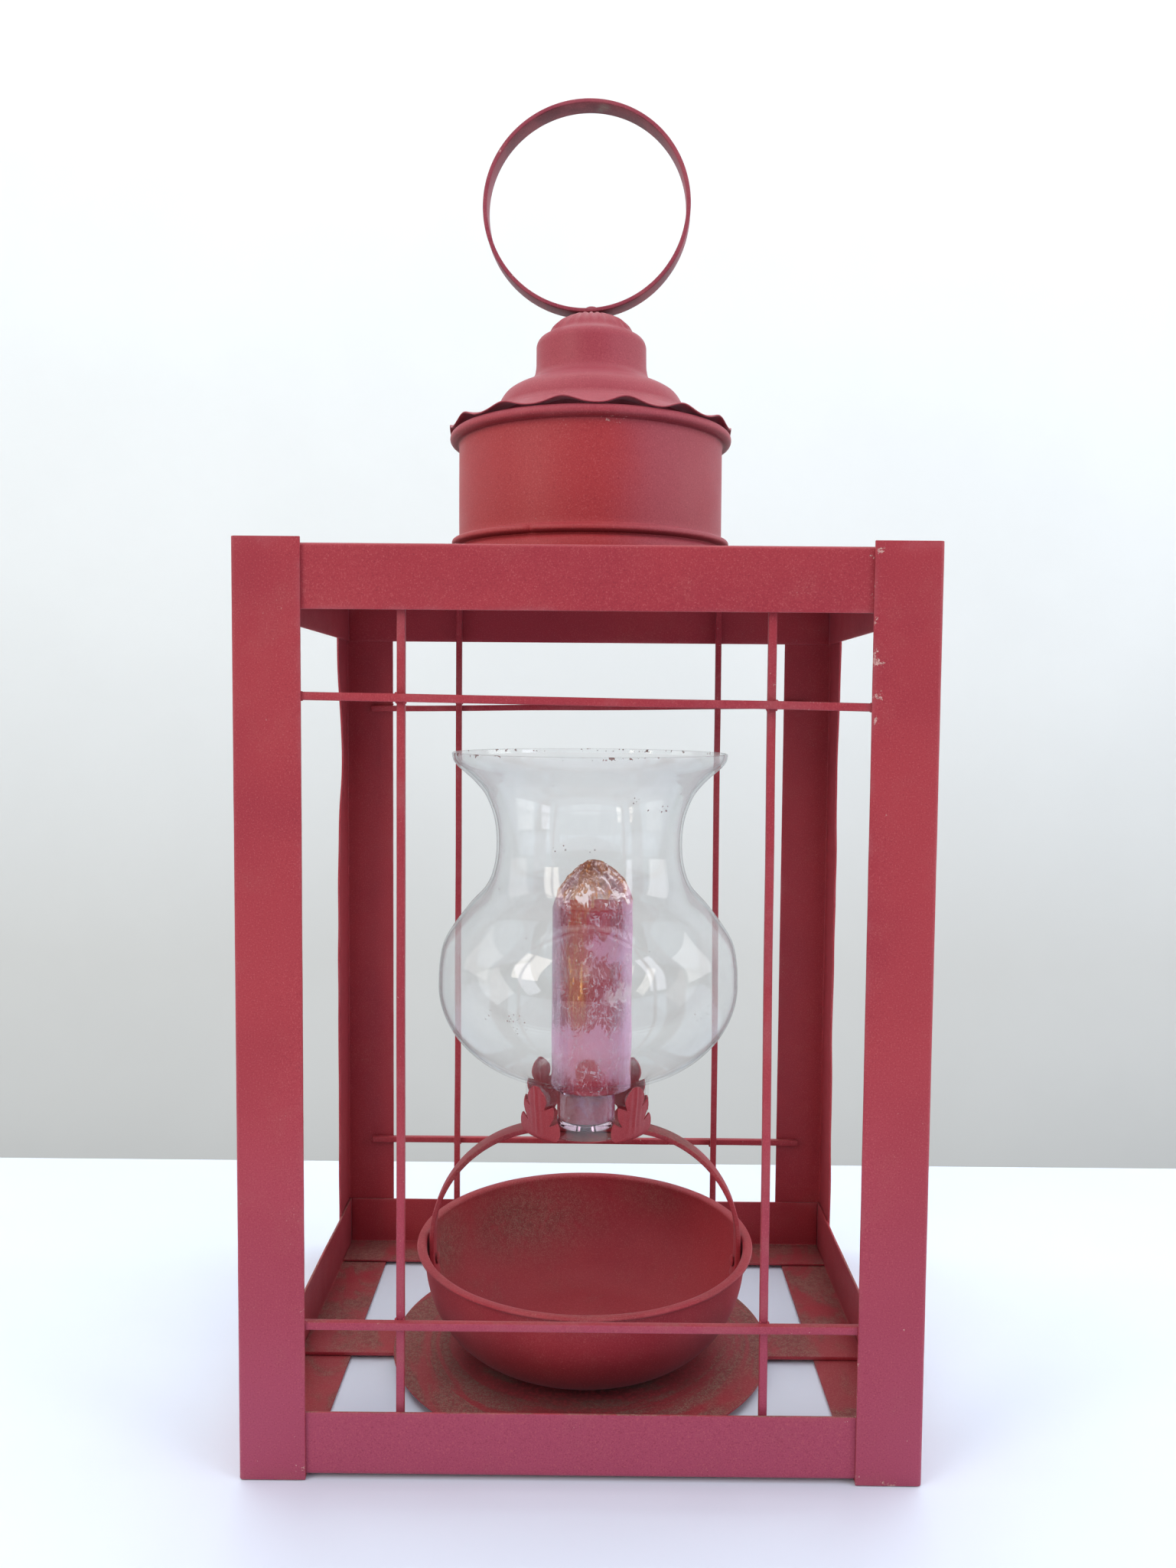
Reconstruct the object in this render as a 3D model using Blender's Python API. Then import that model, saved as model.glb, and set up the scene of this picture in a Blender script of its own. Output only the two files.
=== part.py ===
"""Barn lantern: a red painted angle-iron cage with square-bar guards front and
rear, a round vent drum with a ruffled cap and a hanging ring on its roof, and a
clear hurricane globe standing on a strap arch over a pressed bowl.

+X is to the right, +Y to the back, +Z up.  The origin is the centre of the
footprint on the floor.  Sizes are in millimetres.  Names ending in _R are radii,
_T thicknesses, _W widths and _H heights; _X, _Y and _Z are places on an axis.
Profiles are (radius, z) points.
"""

import math

import bmesh
import bpy
from mathutils import Matrix, Vector

for old in list(bpy.data.objects):
    bpy.data.objects.remove(old, do_unlink=True)

# =============================================================================
# shared dimensions
# =============================================================================
MM = 0.001
MERGE_DISTANCE = 0.0005
GAP = 0.3            # clearance between neighbouring pieces
RIVET_R = 1.8        # shank of the smaller rivets
RIVET_HOLE_R = RIVET_R + GAP

WIDTH = 305.0        # cage outside, left to right
DEPTH = 240.0        # cage outside, front to back
SHEET = 1.2          # sheet the angles are folded from
STEP = SHEET + GAP   # from one sheet's face to its neighbour's
SIDE_X = WIDTH / 2 - STEP    # outer face of what lies inside the posts, left and right
FACE_Y = DEPTH / 2 - STEP    # the same, front and rear
RAIL_FLANGE = 28.0   # level flange of a rail
TOP_RAIL_TOP = 415.3

AXIS_X, AXIS_Y = 1.0, -2.7   # axis of the bowl, arch and leaves
AXIS = (AXIS_X, AXIS_Y, 0.0)

SIDES = (("left", -1), ("right", 1))     # name, sign of x
ENDS = (("front", -1), ("rear", 1))      # name, sign of y


# =============================================================================
# materials
# =============================================================================
def material(name, colour, roughness, alpha=1.0):
    """A non-metallic Principled material in the colour of one finish."""
    made = bpy.data.materials.new(name)
    made.use_nodes = True
    shader = made.node_tree.nodes["Principled BSDF"]
    shader.inputs["Base Color"].default_value = (*colour, 1.0)
    shader.inputs["Roughness"].default_value = roughness
    shader.inputs["Metallic"].default_value = 0.0
    shader.inputs["Alpha"].default_value = alpha
    made.diffuse_color = (*colour, alpha)
    return made


PAINT = material("barn_red_paint", colour=(0.36, 0.045, 0.062), roughness=0.55)
GLASS = material("clear_glass", colour=(0.90, 0.90, 0.93), roughness=0.05, alpha=0.3)
WAX = material("red_wax", colour=(0.42, 0.02, 0.05), roughness=0.4)
FILM = material("clear_film", colour=(0.80, 0.45, 0.40), roughness=0.15, alpha=0.4)
WICK = material("cotton_wick", colour=(0.85, 0.80, 0.68), roughness=0.9)


# =============================================================================
# outlines
# =============================================================================
def arc(centre_x, centre_y, radius, start, end, steps):
    """Points on an arc, both ends included, angles in degrees."""
    points = []
    for i in range(steps + 1):
        angle = math.radians(start + (end - start) * i / steps)
        points.append((centre_x + radius * math.cos(angle), centre_y + radius * math.sin(angle)))
    return points


def curve_through(stations, steps):
    """Points on a Catmull-Rom curve through the stations, some steps to each span."""
    points = []
    last = len(stations) - 1
    for i in range(last):
        before, here, ahead, beyond = (
            Vector(stations[min(max(j, 0), last)]) for j in range(i - 1, i + 3)
        )
        for k in range(steps):
            t = k / steps
            point = 0.5 * (
                2 * here
                + (ahead - before) * t
                + (2 * before - 5 * here + 4 * ahead - beyond) * t ** 2
                + (3 * here - before - 3 * ahead + beyond) * t ** 3
            )
            points.append((point.x, point.y))
    return points + [tuple(stations[-1])]


def offset_line(line, distance):
    """A line moved square to itself, to the left of its direction when positive."""
    moved = []
    for i, (x, z) in enumerate(line):
        before = line[max(i - 1, 0)]
        after = line[min(i + 1, len(line) - 1)]
        run, rise = after[0] - before[0], after[1] - before[1]
        length = math.hypot(run, rise)
        moved.append((x - rise / length * distance, z + run / length * distance))
    return moved


# =============================================================================
# solids
# =============================================================================
def finish(name, shape, finish_material, place=(0.0, 0.0, 0.0), smooth=None):
    """Turns a bmesh in millimetres into an object at a place.

    With smooth given, it is shaded smooth below that edge angle in degrees.
    """
    bmesh.ops.remove_doubles(shape, verts=shape.verts, dist=MERGE_DISTANCE)
    bmesh.ops.recalc_face_normals(shape, faces=shape.faces)
    bmesh.ops.scale(shape, vec=(MM, MM, MM), verts=shape.verts)
    mesh = bpy.data.meshes.new(name)
    shape.to_mesh(mesh)
    shape.free()
    mesh.materials.append(finish_material)
    piece = bpy.data.objects.new(name, mesh)
    piece.location = Vector(place) * MM
    bpy.context.scene.collection.objects.link(piece)
    if smooth is not None:
        mesh.shade_smooth()
        mesh.set_sharp_from_angle(angle=math.radians(smooth))
    return piece


def rotate(shape, angle, axis):
    """Turns a bmesh about an axis through its origin."""
    turn = Matrix.Rotation(angle, 3, axis)
    bmesh.ops.rotate(shape, cent=(0, 0, 0), matrix=turn, verts=shape.verts)


def sweep_round(shape, points, axis, segments, closed):
    """Sweeps a line of points a full turn about an axis and joins the seam."""
    verts = [shape.verts.new(point) for point in points]
    edges = [shape.edges.new(pair) for pair in zip(verts, verts[1:])]
    if closed:
        edges.append(shape.edges.new((verts[-1], verts[0])))
    bmesh.ops.spin(
        shape, geom=verts + edges, cent=(0, 0, 0), axis=axis,
        angle=2 * math.pi, steps=segments, use_merge=False, use_duplicate=False,
    )
    bmesh.ops.remove_doubles(shape, verts=shape.verts, dist=MERGE_DISTANCE)


def spun(profile, segments, start=0.0, closed=True):
    """Spins a profile about Z. An open profile begins and ends on the axis."""
    shape = bmesh.new()
    turn = Matrix.Rotation(start, 3, "Z")
    points = [turn @ Vector((radius, 0.0, z)) for radius, z in profile]
    sweep_round(shape, points, (0, 0, 1), segments, closed)
    return shape


def prism(outline, along):
    """A flat outline of 3-D points, extruded along a vector."""
    shape = bmesh.new()
    face = shape.faces.new([shape.verts.new(Vector(point)) for point in outline])
    extruded = bmesh.ops.extrude_face_region(shape, geom=[face])
    moved = [item for item in extruded["geom"] if isinstance(item, bmesh.types.BMVert)]
    bmesh.ops.translate(shape, vec=Vector(along), verts=moved)
    return shape


def box(x_range, y_range, z_range):
    """A block between two values on each axis."""
    (left, right), (front, rear), (bottom, top) = x_range, y_range, z_range
    outline = [(left, front, bottom), (right, front, bottom),
               (right, rear, bottom), (left, rear, bottom)]
    return prism(outline, (0, 0, top - bottom))


def drill(piece, name, place, radius, half_length, axis="Z", segments=16):
    """Cuts a round hole along Z or X with a hidden cutter and a live Boolean."""
    profile = [(0.0, half_length), (radius, half_length),
               (radius, -half_length), (0.0, -half_length)]
    shape = spun(profile, segments, closed=False)
    if axis == "X":
        rotate(shape, math.pi / 2, "Y")
    cutter = finish(name, shape, PAINT, place)
    cutter.hide_render = True
    cutter.display_type = "WIRE"
    cut = piece.modifiers.new("cut_" + name, "BOOLEAN")
    cut.operation = "DIFFERENCE"
    cut.solver = "EXACT"
    cut.object = cutter


def rivet(head, head_z, tail, tail_z, segments, shank_r=RIVET_R):
    """A rivet along Z, drawn from its head's crown down to its tail.

    head holds (radius, height over head_z), tail (radius, depth under tail_z).
    """
    profile = [(radius, head_z + rise) for radius, rise in head]
    profile += [(shank_r, head_z), (shank_r, tail_z)]
    profile += [(radius, tail_z - drop) for radius, drop in tail]
    return spun(profile, segments, closed=False)


# =============================================================================
# cage: corner posts and rails folded from sheet
# =============================================================================
BEND_R = 2.0         # outside radius of a fold
POST_H = 417.6
POST_FACE = 29.7     # post flange on the front and rear faces
POST_SIDE = 31.0     # post flange on the two open sides
RAIL_H = 28.4        # upright flange of a top end rail
BOTTOM_RAIL_TOP = 30.4


def angle_section(first_leg, second_leg):
    """Section of a folded angle, its outside corner at (0, 0)."""
    points = [(first_leg, 0.0), (first_leg, SHEET)]
    points += arc(BEND_R, BEND_R, BEND_R - SHEET, 270, 180, 3)
    points += [(SHEET, second_leg), (0.0, second_leg)]
    points += arc(BEND_R, BEND_R, BEND_R, 180, 270, 3)
    return points


def corner_post(name, x_sign, y_sign):
    outline = [
        (x_sign * (WIDTH / 2 - across), y_sign * (DEPTH / 2 - inward), 0.0)
        for across, inward in angle_section(POST_FACE, POST_SIDE)
    ]
    finish(name, prism(outline, (0, 0, POST_H)), PAINT, smooth=35)


# Rails stand inside the posts.  At the floor the side rails run the full depth
# and the end rails (front, rear) fit between them; at the roof the end rails run
# the full width and the side rails fit between.  The end rails' level flanges
# lie over those of the side rails at both levels.
def end_rail(name, y_sign, top):
    """Front or rear rail. Its level flange is its top edge or its bottom edge."""
    flange_z = TOP_RAIL_TOP if top else STEP
    upright = -RAIL_H if top else BOTTOM_RAIL_TOP - STEP
    half_length = SIDE_X if top else SIDE_X - STEP
    direction = math.copysign(1, upright)
    outline = [
        (-half_length, y_sign * (FACE_Y - inward), flange_z + direction * height)
        for inward, height in angle_section(RAIL_FLANGE, abs(upright))
    ]
    finish(name, prism(outline, (2 * half_length, 0, 0)), PAINT, smooth=35)


def side_rail(name, x_sign, top):
    """Left or right rail, its level flange placed as on the end rails."""
    flange_z = TOP_RAIL_TOP - STEP if top else 0.0
    upright = STEP - RAIL_H if top else BOTTOM_RAIL_TOP
    half_length = FACE_Y - STEP if top else FACE_Y
    direction = math.copysign(1, upright)
    outline = [
        (x_sign * (SIDE_X - inward), -half_length, flange_z + direction * height)
        for inward, height in angle_section(RAIL_FLANGE, abs(upright))
    ]
    finish(name, prism(outline, (0, 2 * half_length, 0)), PAINT, smooth=35)


def cage():
    for side, x_sign in SIDES:
        for end, y_sign in ENDS:
            corner_post(f"corner_post_{end}_{side}", x_sign, y_sign)
    for level in ("top", "bottom"):
        for end, y_sign in ENDS:
            end_rail(f"{level}_rail_{end}", y_sign, level == "top")
        for side, x_sign in SIDES:
            side_rail(f"{level}_rail_{side}", x_sign, level == "top")


# =============================================================================
# guard grid: level bars on the posts' inner faces, upright rods inside the bars
# =============================================================================
BAR = 3.6            # side of the square bar
BAR_HALF = 136.0     # half length of the level bars
LEVEL_BARS = (("lower", 70.0), ("upper", 348.0))             # name, middle z
RODS = (("left", -81.4, -80.4), ("right", 82.0, 80.4))       # name, x at foot, x at top
ROD_Y = FACE_Y - BAR - GAP   # outer face of the upright rods
ROD_BOTTOM = 2 * STEP
ROD_TOP = TOP_RAIL_TOP - STEP


def level_bar(name, y_sign, z):
    y_range = (y_sign * FACE_Y, y_sign * (FACE_Y - BAR))
    shape = box((-BAR_HALF, BAR_HALF), y_range, (z - BAR / 2, z + BAR / 2))
    finish(name, shape, PAINT)


def upright_rod(name, y_sign, foot_x, top_x):
    """A rod with level ends that leans a little sideways."""
    outer, inner = y_sign * ROD_Y, y_sign * (ROD_Y - BAR)
    left, right = foot_x - BAR / 2, foot_x + BAR / 2
    outline = [(left, outer, ROD_BOTTOM), (right, outer, ROD_BOTTOM),
               (right, inner, ROD_BOTTOM), (left, inner, ROD_BOTTOM)]
    finish(name, prism(outline, (top_x - foot_x, 0, ROD_TOP - ROD_BOTTOM)), PAINT)


def guard_grid():
    for end, y_sign in ENDS:
        for level, z in LEVEL_BARS:
            level_bar(f"{end}_{level}_bar", y_sign, z)
        for side, foot_x, top_x in RODS:
            upright_rod(f"{end}_{side}_rod", y_sign, foot_x, top_x)


# =============================================================================
# roof plate, vent collar and drum
# =============================================================================
VENT_X = 0.6         # the vent sits a hair right of the cage's middle
VENT = (VENT_X, 0, 0)
ROOF_T = 1.2
ROOF_Z = TOP_RAIL_TOP + GAP
ROOF_HOLE_R = 60.0
# the plate reaches out to the middle of the rails' flanges
ROOF_X, ROOF_Y = SIDE_X - RAIL_FLANGE / 2, FACE_Y - RAIL_FLANGE / 2

DRUM_R = 68.3        # outside of the drum wall
DRUM_T = 0.8
DRUM_BOTTOM = 417.4
DRUM_FOOT_R = 72.3   # the wall flares to this at the roof
LOW_BEAD_Z, LOW_BEAD_R, LOW_BEAD_HALF = 430.6, 72.1, 1.7     # middle, outside, section radius
TOP_BEAD_Z, TOP_BEAD_R, TOP_BEAD_HALF = 483.8, 73.0, 2.8

COLLAR_Z = ROOF_Z + ROOF_T + GAP
COLLAR_R = DRUM_R - DRUM_T - GAP
COLLAR_HOLE_R = ROOF_HOLE_R + 1.0
COLLAR_H = 16.0
COLLAR_T = 0.9


def roof_plate():
    shape = box((-ROOF_X, ROOF_X), (-ROOF_Y, ROOF_Y), (ROOF_Z, ROOF_Z + ROOF_T))
    plate = finish("roof_plate", shape, PAINT)
    drill(plate, "vent_hole", (VENT_X, 0, ROOF_Z), ROOF_HOLE_R, half_length=4.0, segments=40)


def vent_collar():
    """Collar inside the drum's foot: a short upright wall on a level flange."""
    inner_r = COLLAR_R - COLLAR_T
    profile = [
        (COLLAR_HOLE_R, COLLAR_Z), (COLLAR_R, COLLAR_Z),
        (COLLAR_R, COLLAR_Z + COLLAR_H), (inner_r, COLLAR_Z + COLLAR_H),
        (inner_r, COLLAR_Z + COLLAR_T), (COLLAR_HOLE_R, COLLAR_Z + COLLAR_T),
    ]
    finish("vent_collar", spun(profile, 40), PAINT, VENT, smooth=35)


def vent_drum():
    """Sheet cylinder flared at its foot, a bead over the flare and one at its mouth."""
    foot_flare = [
        (DRUM_R - DRUM_T, LOW_BEAD_Z - 4.0),
        (DRUM_FOOT_R - DRUM_T - 0.9, DRUM_BOTTOM + 5.4),
        (DRUM_FOOT_R - DRUM_T, DRUM_BOTTOM),
        (DRUM_FOOT_R, DRUM_BOTTOM),
        (DRUM_FOOT_R - 0.8, DRUM_BOTTOM + 5.6),
        (DRUM_R + 0.3, LOW_BEAD_Z - 3.2),
    ]
    low_bead = [
        (DRUM_R, LOW_BEAD_Z - LOW_BEAD_HALF - 0.2),
        *arc(LOW_BEAD_R - LOW_BEAD_HALF, LOW_BEAD_Z, LOW_BEAD_HALF, -60, 60, 2),
        (DRUM_R, LOW_BEAD_Z + LOW_BEAD_HALF),
    ]
    top_bead = arc(TOP_BEAD_R - TOP_BEAD_HALF, TOP_BEAD_Z, TOP_BEAD_HALF, -135, 180, 7)
    profile = foot_flare + low_bead + top_bead + [(DRUM_R - DRUM_T, TOP_BEAD_Z - 1.0)]
    finish("vent_drum", spun(profile, 44), PAINT, VENT, smooth=50)


# =============================================================================
# vent cap: crown, shoulder, bell and ruffled skirt pressed from one sheet
# =============================================================================
CAP_T = 0.8
CAP_APEX = 549.0
DOME_R, DOME_H = 22.0, 12.4          # low dome on the crown
DOME_STEPS, DOME_QUARTER = 3, 3.3    # steps drawn, steps in a full quarter ellipse
SHOULDER_R, SHOULDER_Z = 6.0, 531.4
CAP_NECK_R = 28.5
# hollow flare to a faint ridge, then the bell's bulge: radius, z
CAP_FLARE = ((28.7, 521.0), (33.6, 512.9), (40.4, 509.8), (46.0, 505.0), (48.7, 499.6))
SKIRT_R, SKIRT_TOP = 50.5, 496.8     # where the skirt and its ruffle start
SKIRT_EDGE_R = 73.0
SKIRT_EDGE_Z = 488.7                 # mean height of the edge
SKIRT_STEPS = 4
SKIRT_EASE = 1.75                    # power that flattens the skirt towards its edge
WAVES = 15
WAVE_PHASE = math.radians(-76.8)
WAVE_H = 1.55        # height of the ruffle above and below its mean, at the edge
WAVE_EASED = 0.35    # share of the ruffle's growth that is eased; the rest is straight
INSIDE_SKIPPED = (1, 5, 6, 9, 11, 13, 15, 18)    # outside rings with no ring inside


def cap_outside():
    """Profile down the outside of the cap, from the rivet hole to the skirt's edge."""
    points = [(RIVET_HOLE_R, CAP_APEX)]
    for i in range(1, DOME_STEPS + 1):
        angle = math.radians(90 * i / DOME_QUARTER)
        points.append((DOME_R * math.sin(angle), CAP_APEX - DOME_H * (1 - math.cos(angle))))
    points += arc(CAP_NECK_R - SHOULDER_R, SHOULDER_Z, SHOULDER_R, 66, 0, 3)
    points += curve_through(CAP_FLARE, 2)
    for i in range(SKIRT_STEPS + 1):
        t = i / SKIRT_STEPS
        points.append((SKIRT_R + (SKIRT_EDGE_R - SKIRT_R) * t,
                       SKIRT_EDGE_Z + (SKIRT_TOP - SKIRT_EDGE_Z) * (1 - t) ** SKIRT_EASE))
    return points


def ruffle(x, y):
    """Height added by the ruffle at a point."""
    radius = math.hypot(x, y)
    if radius <= SKIRT_R:
        return 0.0
    t = min(1.0, (radius - SKIRT_R) / (SKIRT_EDGE_R - SKIRT_R))
    growth = t * t * (3 - 2 * t) * WAVE_EASED + t * (1 - WAVE_EASED)
    angle = math.atan2(y, x) - WAVE_PHASE
    return WAVE_H * growth * math.cos(WAVES * angle)


def vent_cap():
    outside = cap_outside()
    inside = offset_line(outside, -CAP_T)
    inside[0] = (outside[0][0], outside[0][1] - CAP_T)
    inside = [point for i, point in enumerate(inside) if i not in INSIDE_SKIPPED]
    shape = spun(outside + inside[::-1], 60, start=WAVE_PHASE)
    for vert in shape.verts:
        vert.co.z += ruffle(vert.co.x, vert.co.y)
    finish("vent_cap", shape, PAINT, VENT, smooth=40)


# =============================================================================
# hanging ring: a flat strip hoop riveted to the crown
# =============================================================================
RING_R = 53.4        # outside
RING_T = 2.2
RING_W = 12.0
RING_LEAN = math.radians(-3.0)       # its top leans to the left
RING_YAW = math.radians(-2.6)        # clockwise from above
RING_BOTTOM = CAP_APEX + GAP


def hanging_ring():
    """The object's origin is the foot of the ring, on the rivet's axis."""
    shape = bmesh.new()
    inner_z = -RING_R + RING_T
    section = [(0.0, -RING_W / 2, -RING_R), (0.0, RING_W / 2, -RING_R),
               (0.0, RING_W / 2, inner_z), (0.0, -RING_W / 2, inner_z)]
    sweep_round(shape, section, (0, 1, 0), segments=54, closed=True)
    bmesh.ops.translate(shape, vec=(0, 0, RING_R), verts=shape.verts)
    rotate(shape, RING_LEAN, "Y")
    rotate(shape, RING_YAW, "Z")
    ring = finish("hanging_ring", shape, PAINT, (VENT_X, 0, RING_BOTTOM), smooth=35)
    drill(ring, "ring_hole", (VENT_X, 0, RING_BOTTOM + 1.0), RIVET_HOLE_R, half_length=4.5)


def ring_rivet():
    """A low round head over the strip and a flat tail inside the cap."""
    shape = rivet(
        head=((0.0, 1.5), (1.9, 1.2), (3.4, 0.05), (3.2, 0.0)),
        head_z=RING_BOTTOM + RING_T + 0.6,
        tail=((3.3, 0.25), (3.3, 1.2), (0.0, 1.4)),
        tail_z=CAP_APEX - CAP_T - GAP,
        segments=16,
    )
    finish("ring_rivet", shape, PAINT, VENT, smooth=40)


# =============================================================================
# base: cross strap, disc, bowl and the rivet through them
# =============================================================================
CROSS_W, CROSS_T = 32.0, 2.0
CROSS_Z = STEP
CROSS_HALF = SIDE_X - STEP
BASE_SHANK_R = RIVET_R + 0.4
BASE_HOLE_R = BASE_SHANK_R + GAP
DISC_R, DISC_T = 101.0, 1.2
DISC_SHIFT = -1.8    # its rim sits off the rivet to the left
DISC_Z = CROSS_Z + CROSS_T + GAP
BOWL_Z = DISC_Z + DISC_T + GAP
BOWL_T = 1.0
BOWL_R, BOWL_FOOT_R = 85.9, 37.5
BOWL_POWER = 2.3     # power of the superellipse the wall follows
BOWL_STEPS = 8
BOWL_SPACING = 1.9   # power that crowds the wall's rings towards its foot
RIM_R, RIM_H = 89.9, 2.0
RIM_TOP = 61.0
ARCH_RIVET_Z = 48.0


def base_cross_strap():
    shape = box((-CROSS_HALF, CROSS_HALF), (AXIS_Y - CROSS_W / 2, AXIS_Y + CROSS_W / 2),
                (CROSS_Z, CROSS_Z + CROSS_T))
    strap = finish("base_cross_strap", shape, PAINT)
    drill(strap, "cross_hole", (AXIS_X, AXIS_Y, CROSS_Z), BASE_HOLE_R, half_length=4.0)


def base_disc():
    top = DISC_Z + DISC_T
    profile = [(BASE_HOLE_R, DISC_Z), (DISC_R, DISC_Z), (DISC_R, top), (BASE_HOLE_R, top)]
    shape = spun(profile, 56)
    for vert in shape.verts:
        if math.hypot(vert.co.x, vert.co.y) > DISC_R / 2:
            vert.co.x += DISC_SHIFT
    finish("base_disc", shape, PAINT, AXIS, smooth=35)


def bowl_radius(z):
    """Outside radius of the bowl's wall at a height."""
    t = (z - BOWL_Z) / (RIM_TOP - BOWL_Z)
    reach = (1 - (1 - t) ** BOWL_POWER) ** (1 / BOWL_POWER)
    return BOWL_FOOT_R + (BOWL_R - BOWL_FOOT_R) * reach


def bowl():
    wall_h = RIM_TOP - RIM_H - BOWL_Z
    heights = [BOWL_Z + wall_h * (i / BOWL_STEPS) ** BOWL_SPACING for i in range(BOWL_STEPS + 1)]
    outside = [(bowl_radius(z), z) for z in heights]
    inside = offset_line(outside, BOWL_T)
    inside[0] = (outside[0][0], BOWL_Z + BOWL_T)
    rim = [(RIM_R - 0.7, RIM_TOP - RIM_H), (RIM_R, RIM_TOP - 1.0),
           (RIM_R - 0.9, RIM_TOP), (BOWL_R - 0.6, RIM_TOP - 0.2)]
    profile = [(BASE_HOLE_R, BOWL_Z), *outside, *rim, *inside[::-1],
               (BASE_HOLE_R, BOWL_Z + BOWL_T)]
    made = finish("bowl", spun(profile, 44), PAINT, AXIS, smooth=50)
    for side, x_sign in SIDES:
        place = (AXIS_X + x_sign * bowl_radius(ARCH_RIVET_Z), AXIS_Y, ARCH_RIVET_Z)
        drill(made, f"bowl_hole_{side}", place, RIVET_HOLE_R, half_length=5.0, axis="X")


def base_rivet():
    """Rivet through bowl, disc and cross strap."""
    shape = rivet(
        head=((0.0, 1.6), (2.4, 1.3), (4.0, 0.0)),
        head_z=BOWL_Z + BOWL_T + GAP,
        tail=((3.8, 0.0), (3.6, 0.85), (0.0, 0.9)),
        tail_z=CROSS_Z - GAP,
        segments=16,
        shank_r=BASE_SHANK_R,
    )
    finish("base_rivet", shape, PAINT, AXIS, smooth=40)


# =============================================================================
# arch over the bowl: level crown, two quarter bends, legs inside the bowl wall
# =============================================================================
ARCH_W, ARCH_T = 12.7, 2.5
ARCH_TOP = 122.8     # top face of the level crown
ARCH_CROWN = 19.0    # half length of the level crown
ARCH_HALF = 84.0     # outside half width the bends are drawn to
ARCH_BEND = ARCH_HALF - ARCH_CROWN
LEG_GAP = 0.9        # between a leg and the bowl's wall at the rivet
# down a leg: z, gap to the bowl's wall
LEG_STATIONS = ((52.0, LEG_GAP), (46.0, LEG_GAP), (38.0, 1.0))
STRAP_CUT_INSET = 3.0        # from the bowl's outside in to the middle of the leg's cutter
SIDE_RIVET_GAP = 0.75        # under the head and the tail of a side rivet
HUB_R, HUB_T = 20.0, 1.2
HUB_Z = ARCH_TOP - ARCH_T - GAP - HUB_T


def arch_outer(x_sign):
    """(x, z) on the outer face, from the crown's middle down one leg."""
    points = [(0.0, ARCH_TOP)]
    points += arc(ARCH_CROWN, ARCH_TOP - ARCH_BEND, ARCH_BEND, 90, 6, 10)
    points += [(bowl_radius(z) - BOWL_T - gap, z) for z, gap in LEG_STATIONS]
    return [(x_sign * x, z) for x, z in points]


def holder_strap():
    outer = arch_outer(-1)[::-1] + arch_outer(1)[1:]
    inner = offset_line(outer, -ARCH_T)
    outline = [(x, -ARCH_W / 2, z) for x, z in outer + inner[::-1]]
    strap = finish("holder_strap", prism(outline, (0, ARCH_W, 0)), PAINT, AXIS, smooth=35)
    cut_x = bowl_radius(ARCH_RIVET_Z) - STRAP_CUT_INSET
    for side, x_sign in SIDES:
        place = (AXIS_X + x_sign * cut_x, AXIS_Y, ARCH_RIVET_Z)
        drill(strap, f"strap_hole_{side}", place, RIVET_HOLE_R, half_length=6.0, axis="X")
    crown = (AXIS_X, AXIS_Y, ARCH_TOP - 1.0)
    drill(strap, "crown_hole", crown, RIVET_HOLE_R, half_length=5.0)


def strap_rivet(side, x_sign):
    """Rivet through one leg of the arch and the bowl's wall, its head outside."""
    wall_r = bowl_radius(ARCH_RIVET_Z)
    shape = rivet(
        head=((0.0, 1.5), (2.0, 1.2), (3.4, 0.0)),
        head_z=wall_r + SIDE_RIVET_GAP,
        tail=((3.2, 0.0), (2.2, 1.1), (0.0, 1.3)),
        tail_z=wall_r - BOWL_T - LEG_GAP - ARCH_T - SIDE_RIVET_GAP,
        segments=14,
    )
    rotate(shape, x_sign * math.pi / 2, "Y")
    place = (AXIS_X, AXIS_Y, ARCH_RIVET_Z)
    finish(f"strap_rivet_{side}", shape, PAINT, place, smooth=40)


def leaf_hub():
    """Round plate under the arch's crown."""
    top = HUB_Z + HUB_T
    profile = [(RIVET_HOLE_R, HUB_Z), (HUB_R, HUB_Z), (HUB_R, top), (RIVET_HOLE_R, top)]
    finish("leaf_hub", spun(profile, 32), PAINT, AXIS, smooth=35)


def hub_rivet():
    """Rivet through the crown and the hub plate."""
    shape = rivet(
        head=((0.0, 1.3), (2.2, 1.0), (3.4, 0.0)),
        head_z=ARCH_TOP + GAP,
        tail=((3.2, 0.0), (2.2, 1.0), (0.0, 1.2)),
        tail_z=HUB_Z - GAP,
        segments=14,
    )
    finish("hub_rivet", shape, PAINT, AXIS, smooth=40)


# =============================================================================
# four lobed sheet leaves that steady the globe's neck
# =============================================================================
LEAF_T = 0.9
LEAF_R = 34.6        # middle of the sheet where it stands beside the globe's neck
# from the hub outward and up: radius, height over the hub's underside, half
# width; the blade leans away from the glass towards its tip
LEAF_ROWS = (
    (20.9, 0.7, 4.2), (25.0, 2.4, 4.4), (30.0, 3.4, 5.2), (33.8, 3.9, 7.6),
    (LEAF_R, 5.9, 12.6), (LEAF_R + 0.2, 8.6, 14.6), (LEAF_R + 0.4, 11.3, 13.8),
    (LEAF_R + 0.4, 12.3, 8.6), (LEAF_R + 0.7, 15.6, 10.5), (LEAF_R + 1.1, 20.2, 11.0),
    (LEAF_R + 1.2, 21.8, 5.8), (LEAF_R + 1.5, 25.6, 7.0), (LEAF_R + 1.9, 29.6, 6.7),
    (LEAF_R + 2.0, 31.3, 4.0),
)
LEAF_COLUMNS = (-1.0, -0.5, 0.0, 0.5, 1.0)       # shares of the half width
# name, direction from the axis in degrees, counted from +X towards +Y
LEAVES = (("front_left", 225), ("front_right", 315), ("rear_left", 135), ("rear_right", 45))


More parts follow.
